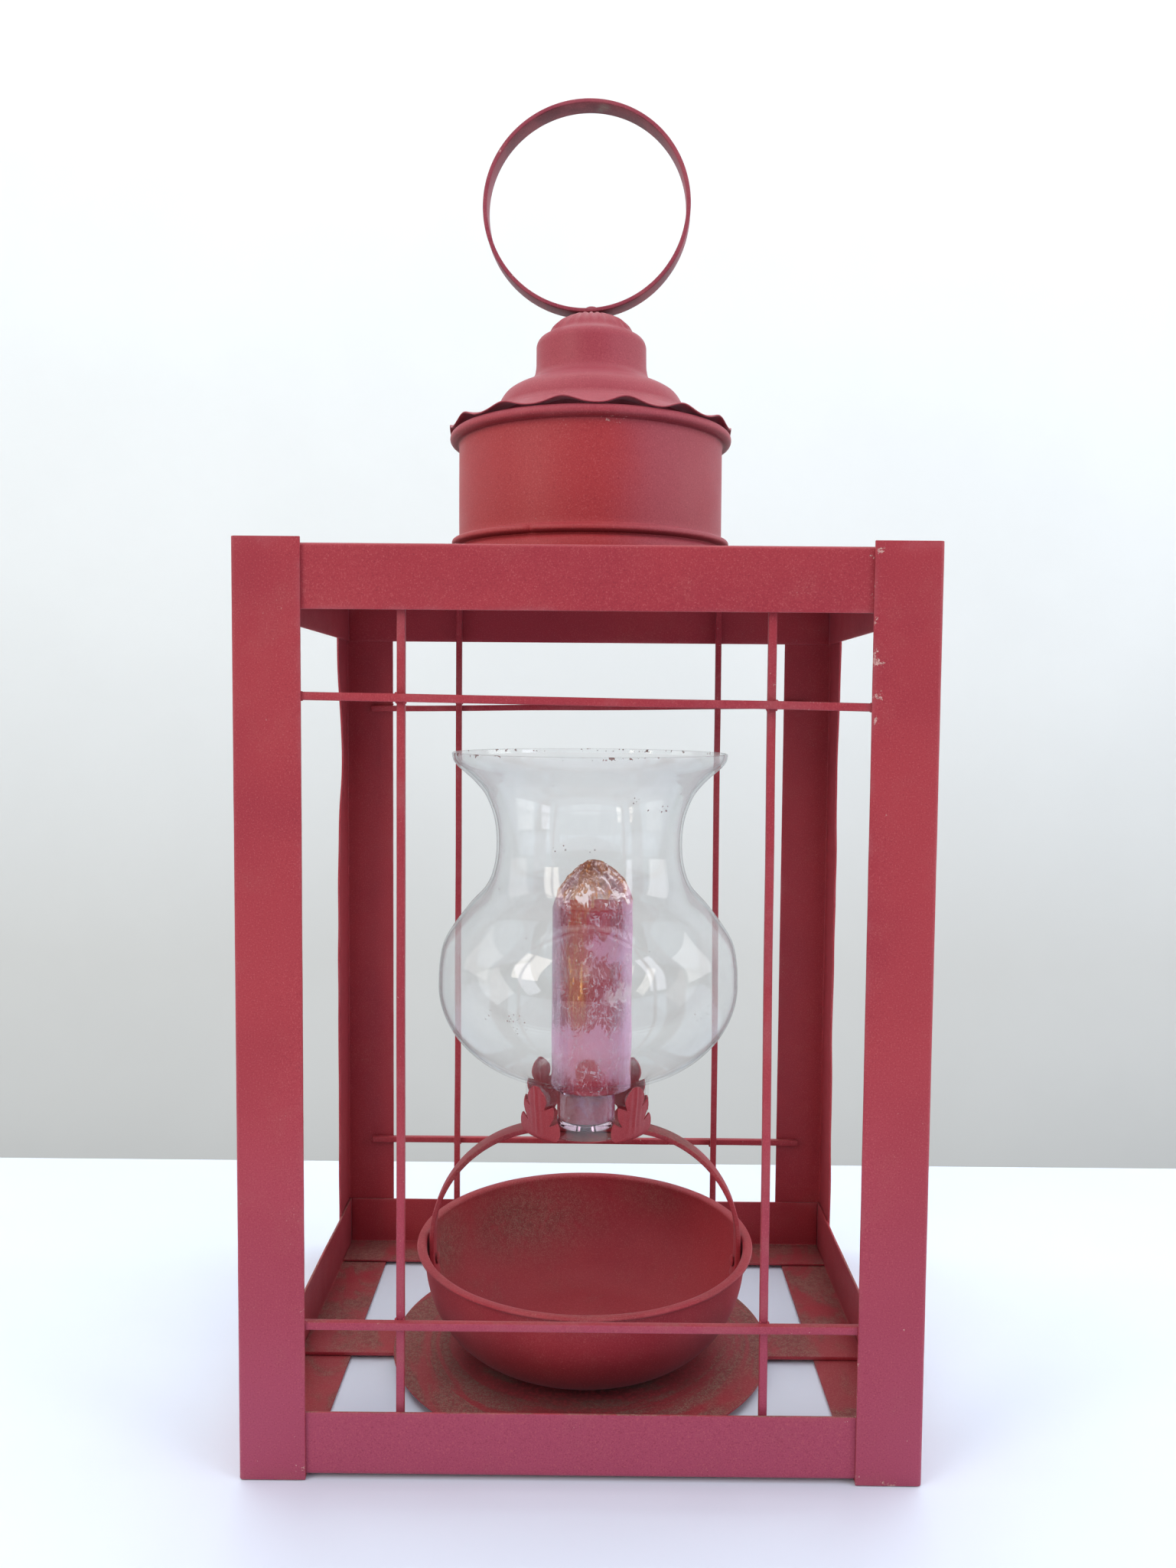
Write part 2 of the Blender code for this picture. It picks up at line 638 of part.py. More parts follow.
def leaf(name, azimuth):
    """A lobed strip that runs out from the hub and turns up beside the neck."""
    shape = bmesh.new()
    grid = []
    for radius, rise, half_width in LEAF_ROWS:
        row = []
        for share in LEAF_COLUMNS:
            angle = azimuth + share * half_width / radius
            point = (radius * math.cos(angle), radius * math.sin(angle), HUB_Z + rise)
            row.append(shape.verts.new(point))
        grid.append(row)
    for low, high in zip(grid, grid[1:]):
        for i in range(len(LEAF_COLUMNS) - 1):
            shape.faces.new((low[i], low[i + 1], high[i + 1], high[i]))
    blade = finish(name, shape, PAINT, AXIS, smooth=50)
    solid = blade.modifiers.new("sheet", "SOLIDIFY")
    solid.thickness = LEAF_T * MM
    solid.offset = 0.0


# =============================================================================
# hurricane globe
# =============================================================================
GLOBE_X = 1.6        # the globe stands a hair right of the bowl's axis
GLOBE_T = 1.6
GLOBE_BOTTOM = 123.6
NECK_R, NECK_H = 33.0, 8.0
NECK_TAPER = 0.4     # the neck's foot is this much smaller in radius
BULB_BOTTOM, BULB_RISE, BULB_R = 152.1, 47.7, 79.25      # foot, height to the widest, radius
BULB_STEPS = 7
BULB_OUT_POWER, BULB_UP_POWER = 1.07, 0.915      # bend the lower bulb off a true ellipse
# above its widest the globe draws in to a waist and flares to its mouth: radius, z
GLOBE_UPPER = (
    (BULB_R, BULB_BOTTOM + BULB_RISE), (75.4, 224.6), (64.2, 240.6),
    (54.2, 252.0), (49.0, 276.0), (54.4, 299.2),
    (65.0, 311.4), (71.6, 318.6), (72.5, 322.6),
)


def globe_outside():
    """Profile up the outside of the globe: neck, bulb, waist, flared mouth."""
    points = [(NECK_R - NECK_TAPER, GLOBE_BOTTOM), (NECK_R, GLOBE_BOTTOM + NECK_H)]
    for i in range(BULB_STEPS):
        angle = math.radians(90 * i / BULB_STEPS)
        points.append((NECK_R + (BULB_R - NECK_R) * math.sin(angle) ** BULB_OUT_POWER,
                       BULB_BOTTOM + BULB_RISE * (1 - math.cos(angle)) ** BULB_UP_POWER))
    points += curve_through(GLOBE_UPPER, 2)
    del points[-2]   # the last span, at the lip, is straight
    return points


def hurricane_globe():
    outside = globe_outside()
    inside = offset_line(outside, GLOBE_T)
    for end in (0, -1):      # level edges at the foot and the mouth
        inside[end] = (outside[end][0] - GLOBE_T, outside[end][1])
    shape = spun(outside + inside[::-1], 38)
    finish("hurricane_globe", shape, GLASS, (GLOBE_X, AXIS_Y, 0), smooth=60)


# =============================================================================
# glass stand, candle, wick and film wrap
# =============================================================================
STAND_R = 15.5
STAND_HOLE_R, STAND_WELL_R = 3.8, 11.6
STAND_Z, STAND_TOP = ARCH_TOP + GAP, 143.4
CANDLE_X = AXIS_X + 2.6      # the candle stands a little to the right of the axis
CANDLE = (CANDLE_X, AXIS_Y, 0)
CANDLE_R = 21.0
CANDLE_BOTTOM, CANDLE_TOP = 143.8, 241.5
WICK_R = 0.9
WICK_HOLE_R = WICK_R + GAP
WICK_HOLE_Z = CANDLE_TOP - 6.0       # floor of the wick's hole
WRAP_R = 21.9
WRAP_T = 0.5
WRAP_TOP = 266.0
# gathered peak of the film: radius, z
WRAP_PEAK = ((21.7, 245.0), (20.6, 250.0), (17.2, 255.6), (12.4, 260.4), (7.4, 264.2))


def glass_candle_stand():
    profile = [
        (STAND_HOLE_R, STAND_Z), (STAND_R - 1.0, STAND_Z), (STAND_R, STAND_Z + 1.0),
        (STAND_R, STAND_TOP - 0.5), (STAND_R - 0.5, STAND_TOP), (STAND_WELL_R, STAND_TOP),
        (STAND_WELL_R, STAND_Z + 5.0), (STAND_HOLE_R, STAND_Z + 4.4),
    ]
    finish("glass_candle_stand", spun(profile, 32), GLASS, AXIS, smooth=50)


def candle():
    profile = [
        (0.0, CANDLE_BOTTOM), (CANDLE_R - 0.8, CANDLE_BOTTOM), (CANDLE_R, CANDLE_BOTTOM + 0.8),
        (CANDLE_R, CANDLE_TOP - 1.2), (CANDLE_R - 1.2, CANDLE_TOP),
        (WICK_HOLE_R, CANDLE_TOP), (WICK_HOLE_R, WICK_HOLE_Z), (0.0, WICK_HOLE_Z),
    ]
    finish("candle", spun(profile, 36, closed=False), WAX, CANDLE, smooth=50)


def candle_wick():
    profile = [(0.0, WICK_HOLE_Z + GAP), (WICK_R, WICK_HOLE_Z + GAP),
               (WICK_R, CANDLE_TOP + 9.0), (0.0, CANDLE_TOP + 9.6)]
    finish("candle_wick", spun(profile, 10, closed=False), WICK, CANDLE, smooth=60)


def candle_wrap():
    """Film round the candle: a sleeve, then a gathered peak closed at the top."""
    outside = [(WRAP_R, CANDLE_BOTTOM + 0.6), (WRAP_R, CANDLE_TOP - 0.6), *WRAP_PEAK]
    # the inside drops further below the outside towards the peak
    inside = [
        (radius - WRAP_T, z - WRAP_T * i / len(outside))
        for i, (radius, z) in enumerate(outside)
    ]
    profile = [*outside, (0.0, WRAP_TOP), (0.0, WRAP_TOP - WRAP_T), *inside[::-1]]
    finish("candle_wrap", spun(profile, 28), FILM, CANDLE, smooth=60)


# =============================================================================
# the whole lantern
# =============================================================================
def lantern():
    cage()
    guard_grid()
    roof_plate()
    vent_collar()
    vent_drum()
    vent_cap()
    hanging_ring()
    ring_rivet()
    base_cross_strap()
    base_disc()
    bowl()
    base_rivet()
    holder_strap()
    for side, x_sign in SIDES:
        strap_rivet(side, x_sign)
    leaf_hub()
    hub_rivet()
    for place_name, degrees in LEAVES:
        leaf(f"leaf_{place_name}", math.radians(degrees))
    hurricane_globe()
    glass_candle_stand()
    candle()
    candle_wick()
    candle_wrap()


lantern()
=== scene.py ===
# A square red lantern: folded corner posts and rails, guard bars front and rear, a round vent
# with a fluted cap and hanging ring, and a bowl whose arch and four leaves hold a glass globe
# round a film-wrapped candle.
# It stands on z = 0 with its front towards -y, its left at -x and z up. Meshes are worked out in
# millimetres and stored in metres; places inside materials are metres unless they say mm.
import math
from functools import reduce
from types import SimpleNamespace
import bmesh
import bpy
import numpy as np
from mathutils import Matrix, Vector, noise


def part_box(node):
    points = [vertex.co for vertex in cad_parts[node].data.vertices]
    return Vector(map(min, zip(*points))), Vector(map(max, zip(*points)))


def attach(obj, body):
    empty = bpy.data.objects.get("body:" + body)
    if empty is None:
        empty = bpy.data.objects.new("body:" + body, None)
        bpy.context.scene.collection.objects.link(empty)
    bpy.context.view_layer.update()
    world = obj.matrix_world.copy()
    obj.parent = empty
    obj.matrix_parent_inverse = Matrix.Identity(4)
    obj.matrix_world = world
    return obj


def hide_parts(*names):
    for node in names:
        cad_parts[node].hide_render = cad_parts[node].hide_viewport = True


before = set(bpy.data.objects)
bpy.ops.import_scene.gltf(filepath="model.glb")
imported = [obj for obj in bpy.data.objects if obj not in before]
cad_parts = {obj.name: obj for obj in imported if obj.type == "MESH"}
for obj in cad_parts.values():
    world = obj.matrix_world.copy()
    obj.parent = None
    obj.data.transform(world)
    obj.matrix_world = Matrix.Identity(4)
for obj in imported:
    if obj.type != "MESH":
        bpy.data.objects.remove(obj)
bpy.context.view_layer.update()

MM = 0.001
SCENE = bpy.context.scene
PAINT_SLOT = "barn_red_paint"
GLASS_SLOT = "clear_glass"


def box_mm(node):
    """Lowest and highest corner of a CAD node, in millimetres."""
    low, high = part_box(node)
    return np.array(low) / MM, np.array(high) / MM


def middle_xy(node):
    low, high = box_mm(node)
    return tuple((low[:2] + high[:2]) / 2)


def half_width(node):
    low, high = box_mm(node)
    return (high[0] - low[0]) / 2


# =============================================================================
# material nodes
# =============================================================================
class Field:
    """A socket in a material; arithmetic on it adds Math nodes."""

    def __init__(self, graph, socket):
        self.graph = graph
        self.socket = socket

    def __add__(self, other):
        return self.graph.math("ADD", self, other)

    def __radd__(self, other):
        return self.graph.math("ADD", other, self)

    def __sub__(self, other):
        return self.graph.math("SUBTRACT", self, other)

    def __rsub__(self, other):
        return self.graph.math("SUBTRACT", other, self)

    def __mul__(self, other):
        return self.graph.math("MULTIPLY", self, other)

    def __abs__(self):
        return self.graph.math("ABSOLUTE", self)

    def ramp(self, start, end):
        """0 at start, easing to 1 at end. Start may be the higher of the two."""
        return self.graph.field("MapRange", "Result",
                                {"Value": self, "From Min": start, "From Max": end},
                                clamp=True, interpolation_type="SMOOTHSTEP")

    def clamped(self):
        """Holds the result of the last Math node between 0 and 1."""
        self.socket.node.use_clamp = True
        return self


class Graph:
    """Short calls for building a material's nodes."""

    def __init__(self, name):
        self.mat = bpy.data.materials.new(name)
        self.mat.use_nodes = True
        self.tree = self.mat.node_tree
        self.tree.nodes.clear()
        self.out = self.add("OutputMaterial")
        self.coords = self.field("TexCoord", "Object")

    def add(self, kind, inputs=(), **settings):
        node = self.tree.nodes.new("ShaderNode" + kind)
        for key, value in settings.items():
            setattr(node, key, value)
        for key, value in dict(inputs).items():
            self.plug(node.inputs[key], value)
        return node

    def field(self, kind, output, inputs=(), **settings):
        return Field(self, self.add(kind, inputs, **settings).outputs[output])

    def plug(self, socket, value):
        if isinstance(value, Field):
            self.tree.links.new(value.socket, socket)
        elif isinstance(value, tuple) and socket.type == "RGBA":
            socket.default_value = (*value, 1.0)
        else:
            socket.default_value = value

    def math(self, operation, first, second=0.0):
        return self.field("Math", 0, {0: first, 1: second, 2: 0.0}, operation=operation)

    def most(self, *values):
        return reduce(lambda first, second: self.math("MAXIMUM", first, second), values)

    def split(self, vector=None):
        """The x, y and z of a vector, or of the place on the object."""
        node = self.add("SeparateXYZ", {0: vector or self.coords})
        return [Field(self, output) for output in node.outputs]

    def normal(self):
        return self.split(self.field("NewGeometry", "Normal"))

    def polar(self, centre, radial, angular):
        """Coordinates that run round a centre, for marks that follow a rim."""
        x, y, _ = self.split()
        across = x - centre[0]
        along = y - centre[1]
        radius = self.math("SQRT", across * across + along * along)
        turn = self.math("ARCTAN2", across, along * -1.0)
        return self.field("CombineXYZ", 0, {0: radius * radial, 1: turn * angular})

    def noise(self, scale, detail=2.0, rough=0.5, distortion=0.0, stretch=None, offset=None,
              vector=None):
        vector = vector or self.coords
        if stretch or offset:
            vector = self.field("Mapping", "Vector", {
                "Vector": vector, "Scale": stretch or (1, 1, 1), "Location": offset or (0, 0, 0)})
        return self.field("TexNoise", "Fac", {
            "Vector": vector, "Scale": scale, "Detail": detail, "Roughness": rough,
            "Distortion": distortion})

    def cells(self, scale):
        return self.field("TexVoronoi", "Distance", {"Vector": self.coords, "Scale": scale})

    def blend(self, factor, under, over):
        return self.field("Mix", 2, {0: factor, 6: under, 7: over}, data_type="RGBA",
                          clamp_factor=True)

    def attribute(self, name):
        return self.field("Attribute", "Fac", attribute_name=name)

    def bump(self, height, distance, strength):
        return self.field("Bump", "Normal", {
            "Strength": strength, "Distance": distance, "Height": height})

    def spot(self, centre_mm, radius_mm, stretch=(1, 1, 1)):
        """1 at a place on the object, falling to 0 at a radius."""
        away = self.field("VectorMath", 0, {0: self.coords, 1: tuple(c * MM for c in centre_mm)},
                          operation="SUBTRACT")
        away = self.field("VectorMath", 0, {0: away, 1: stretch}, operation="MULTIPLY")
        length = self.field("VectorMath", "Value", {0: away}, operation="LENGTH")
        return length.ramp(start=radius_mm * MM, end=0.0)

    def bsdf(self, kind, inputs):
        return self.field("Bsdf" + kind, 0, inputs)

    def mix(self, factor, first, second):
        return self.field("MixShader", 0, {0: factor, 1: first, 2: second})

    def finish(self, shader):
        self.plug(self.out.inputs["Surface"], shader)
        return self.mat

    def finish_clear(self, shader, tint):
        """Lets lamps and shadows through a clear piece."""
        shadow_ray = self.field("LightPath", "Is Shadow Ray")
        return self.finish(self.mix(shadow_ray, shader, self.bsdf("Transparent", {"Color": tint})))


# =============================================================================
# paint
# =============================================================================
RED = (0.350, 0.034, 0.044)
RED_DEEP = (0.300, 0.025, 0.038)
RED_BRIGHT = (0.390, 0.048, 0.056)
RED_PAINTED_WARM_LIGHT = (0.41, 0.038, 0.034)
RED_PAINTED_SHEEN = (0.330, 0.050, 0.070)
RED_DULL_PAINTED_SHEEN = (0.235, 0.034, 0.060)
RED_PAINTED_SHADE = (0.075, 0.012, 0.016)
GRAIN_LIGHT = (0.50, 0.115, 0.12)
GRAIN_DARK = (0.17, 0.014, 0.026)
LINT = (0.55, 0.30, 0.27)
RUBBED = (0.36, 0.085, 0.10)
MAUVE_PAINTED_REFLECTION = (0.318, 0.048, 0.098)
DUST_DARK = (0.140, 0.056, 0.048)
DUST_PALE = (0.265, 0.138, 0.108)
PRIMER = (0.64, 0.40, 0.35)
PRIMER_DARK = (0.34, 0.17, 0.15)


def coat_colour(graph, tex, warm, painted_sheen, mauve, under):
    """The clean coat: clouded red, with tints by place and fine grain; the tints by place are
    painted warm light, painted sheen, painted reflection and painted shade.
    """
    colour = graph.blend(tex.broad.ramp(start=0.35, end=0.68), RED, RED_DEEP)
    colour = graph.blend(tex.patch.ramp(start=0.48, end=0.72) * 0.20, colour, RED_BRIGHT)
    if warm:
        # painted warm light makes the drum's left and middle a warmer red, and painted sheen makes
        # its right side and the cap pinker
        x, _, z = graph.split()
        leftward = (x + tex.patch * 0.02).ramp(start=0.050, end=0.012)
        painted_warm_light = z.ramp(start=0.486, end=0.480) * leftward
        colour = graph.blend(painted_warm_light * warm, colour, RED_PAINTED_WARM_LIGHT)
        colour = graph.blend((1.0 - painted_warm_light) * 0.85, colour, RED_PAINTED_SHEEN)
    # painted sheen: the coat turns a dull pinker red in place of a sheen
    if painted_sheen:
        colour = graph.blend(painted_sheen, colour, RED_DULL_PAINTED_SHEEN)
    if mauve:
        # painted reflection: the coat goes mauve towards the foot of what faces the front, in place
        # of the reflected pale floor and sky
        _, y, z = graph.split()
        foot = (z + tex.broad * 0.10).ramp(start=0.26, end=0.04)
        facing = graph.normal()[1].ramp(start=-0.2, end=-0.8) * y.ramp(start=-0.100, end=-0.113)
        colour = graph.blend(foot * facing * (0.95 * mauve), colour, MAUVE_PAINTED_REFLECTION)
    if under:
        # painted shade: faces that look down are darkened
        downward = graph.normal()[2].ramp(start=-0.10, end=-0.75)
        colour = graph.blend(downward * under, colour, RED_PAINTED_SHADE)
    colour = graph.blend(tex.grain.ramp(start=0.54, end=0.72) * 0.42, colour, GRAIN_LIGHT)
    colour = graph.blend(tex.grain.ramp(start=0.46, end=0.30) * 0.42, colour, GRAIN_DARK)
    # lint and pale specks, sparse
    rare = tex.patch.ramp(start=0.60, end=0.68)
    speck = graph.cells(scale=420.0).ramp(start=0.16, end=0.09) * rare
    return graph.blend(speck * 0.26, colour, LINT)


def dust_amount(graph, tex, dust, haze, spots, swirl):
    """Dust on what faces up: heavy drifts, thin veils, and patches swept back to red."""
    upward = graph.normal()[2].ramp(start=0.30, end=0.92)
    if swirl:
        ring = graph.polar(swirl, radial=1.7, angular=0.024)
        drift = graph.noise(scale=19.0, detail=5, rough=0.60, distortion=0.9, vector=ring)
        swept = graph.noise(scale=30.0, detail=3, rough=0.55, distortion=1.2, vector=ring)
        swept = swept.ramp(start=0.47, end=0.57)
    else:
        drift = graph.noise(scale=19.0, detail=5, rough=0.62, distortion=1.1)
        swept = 0.0
        if dust > 0.5:
            swept = graph.noise(scale=30.0, detail=3, rough=0.55, distortion=1.6,
                                stretch=(1, 0.55, 1), offset=(1.3, 0.2, 0.7))
            swept = swept.ramp(start=0.47, end=0.60)
    lowered = 0.30 * dust
    level = (drift + tex.fine * 0.12).ramp(start=0.66 - lowered, end=0.86 - lowered)
    amount = level * (1.0 - graph.math("MULTIPLY", swept, 0.80))
    amount = upward * amount * min(1.0, 0.25 + 0.75 * dust)
    amount = graph.most(amount, tex.patch.ramp(start=0.50, end=0.78) * haze)
    for centre, radius, stretch, gain in spots:
        patch = graph.spot(centre, radius, stretch) * gain
        broken = graph.noise(scale=60.0, detail=5, rough=0.7, distortion=0.8, offset=(3, 3, 1))
        amount = graph.most(amount, patch * broken.ramp(start=0.20, end=0.56))
    sprinkle = 0.42 + tex.grain.ramp(start=0.38, end=0.60) * 0.58
    return (amount * sprinkle).clamped()


def chip_mask(graph, tex, chips, spots):
    """Chips: a few along the edges, and where the piece has been knocked."""
    hit = graph.noise(scale=380.0, detail=4, rough=0.65, offset=(5, 1, 8))
    hit = hit + tex.edge * tex.broad.ramp(start=0.50, end=0.66) * (0.105 * chips)
    for centre, radius, gain in spots:
        hit = hit + graph.spot(centre, radius) * gain
    return hit.ramp(start=0.740, end=0.760)


def paint(name, dust=0.35, chips=1.0, chip_spots=(), rough=0.50, grey_spots_and_painted_shadow=(), mauve=1.0,
          dust_spots=(), haze=0.10, warm=0.0, under=0.0, painted_sheen=0.0, swirl=None):
    """Powder-coated sheet with orange peel and specks, dust on level faces and chipped edges.

    chip_spots: (place mm, radius mm, gain); grey_spots_and_painted_shadow: (place mm, radius mm, colour);
    dust_spots: (place mm, radius mm, stretch, gain); swirl: centre that the dust runs round.
    """
    graph = Graph(name)
    tex = SimpleNamespace(
        broad=graph.noise(scale=9.0, detail=3, rough=0.55),
        patch=graph.noise(scale=55.0, detail=5, rough=0.6),
        fine=graph.noise(scale=420.0, detail=3, rough=0.6),
        grain=graph.noise(scale=1500.0, detail=2, rough=0.65),
        edge=graph.attribute("wear"))
    colour = coat_colour(graph, tex, warm, painted_sheen, mauve, under)
    amount = dust_amount(graph, tex, dust, haze, dust_spots, swirl)
    mottle = (tex.grain * 0.6 + tex.fine * 0.4).ramp(start=0.42, end=0.60)
    colour = graph.blend(amount, colour, graph.blend(mottle, DUST_DARK, DUST_PALE))
    chip = chip_mask(graph, tex, chips, chip_spots)
    primer = graph.blend(tex.grain.ramp(start=0.45, end=0.6), PRIMER, PRIMER_DARK)
    colour = graph.blend(chip * 0.80, colour, primer)
    rub = tex.edge * tex.patch.ramp(start=0.42, end=0.66) * 0.35
    colour = graph.blend(rub, colour, RUBBED)
    # grey spots: marks on the coat, and on the base disc the dark spots under the bowl are painted
    # shadow
    for centre, radius, tone in grey_spots_and_painted_shadow:
        mark = graph.spot(centre, radius) * tex.fine.ramp(start=0.32, end=0.60)
        colour = graph.blend(mark * 0.75, colour, tone)
    roughness = rough + (tex.patch - 0.5) * 0.22
    height = tex.fine * 0.55 + tex.grain * 0.45 + amount * 0.6 - chip * 1.0
    return graph.finish(graph.bsdf("Principled", {
        "Base Color": colour,
        "Roughness": (roughness + amount * 0.35).clamped(),
        "Normal": graph.bump(height, distance=0.00013, strength=0.6),
        "Specular IOR Level": 0.30,
        "Sheen Weight": 0.07,
        "Sheen Roughness": 0.40,
        "Sheen Tint": (0.85, 0.65, 0.80)}))


# =============================================================================
# glass, wax, cotton and film
# =============================================================================
GLASS_OUTLINE = (0.76, 0.77, 0.78)
GLASS_DUST = (0.68, 0.73, 0.72)
GLASS_SPECK = (0.20, 0.07, 0.06)
GLASS_SHADOW = (0.93, 0.93, 0.94)


def thin_wall(graph, wave, slant, tint):
    """A thin blown wall: bends very little, greys and mirrors more towards its outline."""
    bulb = graph.split()[2].ramp(start=0.152, end=0.176)
    outline = slant.ramp(start=0.76, end=0.93) * (0.12 + bulb * 0.88)
    passing = graph.bsdf("Refraction", {
        "IOR": 1.0005, "Roughness": 0.0,
        "Normal": graph.bump(wave, distance=0.0012, strength=0.25),
        "Color": graph.blend(outline, tint, GLASS_OUTLINE)})
    mirror = graph.bsdf("Glossy", {
        "Roughness": 0.012, "Normal": graph.bump(wave, distance=0.0012, strength=0.25)})
    rise = graph.math("POWER", slant, 5.0) * bulb
    return graph.mix((0.040 + rise * 0.50).clamped(), passing, mirror)


def glass(name, tint, thin=False):
    """Clear glass with faint smears, dust and a few specks."""
    graph = Graph(name)
    wave = graph.noise(scale=22.0, stretch=(1, 1, 0.35))
    smear = graph.noise(scale=34.0, detail=5, rough=0.65, distortion=0.8)
    rare = graph.noise(scale=46.0, offset=(4.4, 1.2, 0.3)).ramp(start=0.665, end=0.70)
    speck = graph.cells(scale=300.0).ramp(start=0.20, end=0.12) * rare
    # specks caught on the globe's lip
    z = graph.split()[2]
    caught = graph.noise(scale=210.0, detail=3, rough=0.6, offset=(6, 1, 0))
    lip = z.ramp(start=0.3204, end=0.3210) * caught.ramp(start=0.635, end=0.655)
    speck = graph.most(speck, lip)
    amount = smear.ramp(start=0.42, end=0.86) * 0.06
    amount = amount * (0.5 + graph.noise(scale=900.0, detail=2, rough=0.6))
    if thin:
        slant = graph.field("LayerWeight", "Facing", {"Blend": 0.5})
        shader = thin_wall(graph, wave, slant, tint)
        # the thin coat of dust reads denser where the wall is seen aslant
        aslant = slant.ramp(start=0.14, end=0.62) * 0.14
        amount = amount + aslant * z.ramp(start=0.160, end=0.185)
    else:
        shader = graph.bsdf("Glass", {
            "Color": tint, "IOR": 1.45,
            "Roughness": smear.ramp(start=0.55, end=0.85) * 0.035,
            "Normal": graph.bump(wave, distance=0.0012, strength=0.35)})
    dust = graph.bsdf("Diffuse", {"Color": graph.blend(speck, GLASS_DUST, GLASS_SPECK)})
    share = graph.most(amount, speck * 0.75).clamped()
    return graph.finish_clear(graph.mix(share, shader, dust), GLASS_SHADOW)


WAX = (0.50, 0.036, 0.062)
WAX_DEEP = (0.42, 0.024, 0.046)
WAX_MOTTLE = (0.62, 0.11, 0.13)
WAX_STREAK = (0.38, 0.020, 0.05)


def wax(name):
    graph = Graph(name)
    broad = graph.noise(scale=26.0, detail=3, rough=0.55)
    mottle = graph.noise(scale=240.0, detail=4, rough=0.6)
    streak = graph.noise(scale=60.0, detail=3, stretch=(1, 1, 0.12))
    colour = graph.blend(broad.ramp(start=0.35, end=0.7), WAX, WAX_DEEP)
    colour = graph.blend(mottle.ramp(start=0.5, end=0.75) * 0.35, colour, WAX_MOTTLE)
    colour = graph.blend(streak.ramp(start=0.5, end=0.72) * 0.25, colour, WAX_STREAK)
    return graph.finish(graph.bsdf("Principled", {
        "Base Color": colour,
        "Roughness": 0.30 + mottle * 0.25,
        "Normal": graph.bump(mottle + streak, distance=0.0003, strength=0.5),
        "Subsurface Weight": 0.25,
        "Subsurface Radius": (0.006, 0.001, 0.001),
        "Subsurface Scale": 0.6}))


RESIDUE_RED = (0.50, 0.070, 0.140)
RESIDUE_MAUVE = (0.42, 0.115, 0.240)
RESIDUE_WARM = (0.60, 0.17, 0.13)


def tinted_wax(name):
    """Pale mauve wax left in the stand's well, part see-through and warmer on its left."""
    graph = Graph(name)
    cloud = graph.noise(scale=130.0, detail=4, rough=0.6, distortion=0.8)
    fine = graph.noise(scale=700.0, detail=3, rough=0.6)
    warm = (graph.split()[0] + cloud * 0.004).ramp(start=0.002, end=-0.006)
    colour = graph.blend(cloud.ramp(start=0.4, end=0.65), RESIDUE_RED, RESIDUE_MAUVE)
    body = graph.bsdf("Principled", {
        "Base Color": graph.blend(warm * 0.7, colour, RESIDUE_WARM),
        "Roughness": 0.18 + fine * 0.2,
        "Normal": graph.bump(cloud, distance=0.0006, strength=0.6)})
    clear = graph.bsdf("Transparent", {"Color": (0.86, 0.66, 0.80)})
    shader = graph.mix((0.76 + cloud * 0.3).clamped(), clear, body)
    return graph.finish_clear(shader, tint=(0.85, 0.70, 0.78))


COTTON = (0.80, 0.74, 0.60)
COTTON_DARK = (0.58, 0.50, 0.38)


def cotton(name):
    graph = Graph(name)
    braid = graph.noise(scale=700.0, detail=3, rough=0.6, stretch=(1, 1, 0.4))
    return graph.finish(graph.bsdf("Principled", {
        "Base Color": graph.blend(braid.ramp(start=0.35, end=0.65), COTTON, COTTON_DARK),
        "Roughness": 0.92,
        "Normal": graph.bump(braid, distance=0.0004, strength=0.8)}))


FILM_CLEAR = (0.965, 0.935, 0.950)
FILM_GATHERED = (0.90, 0.70, 0.46)
FILM_STRAND = (0.88, 0.50, 0.20)
GLOSS_CLEAR = (0.98, 0.90, 1.0)
GLOSS_AMBER = (1.0, 0.84, 0.58)
MAUVE_FILM_PAINTED_REFLECTION = (0.80, 0.48, 0.70)
VEIL_BROWN = (0.62, 0.20, 0.10)
VEIL_GOLD = (1.0, 0.54, 0.20)
PAINTED_HIGHLIGHT_WHITE = (0.97, 0.90, 0.92)


def film_sheen(graph, fold, strand, crinkle, fine):
    """The film itself: clear, glossy, and amber where it is gathered."""
    tint = graph.blend(fold, FILM_CLEAR, FILM_GATHERED)
    tint = graph.blend(strand * (fold * 0.75), tint, FILM_STRAND)
    clear = graph.bsdf("Transparent", {"Color": tint})
    gloss = graph.bsdf("Glossy", {
        "Color": graph.blend(fold, GLOSS_CLEAR, GLOSS_AMBER),
        "Roughness": 0.04 + fine * 0.08,
        "Normal": graph.bump(crinkle + fine * 0.5, distance=0.0022, strength=1.0)})
    fresnel = graph.field("Fresnel", 0, {
        "IOR": 1.42, "Normal": graph.bump(crinkle, distance=0.0010, strength=0.8)})
    return graph.mix((fresnel * 0.95 + fold * 0.06).clamped(), clear, gloss)


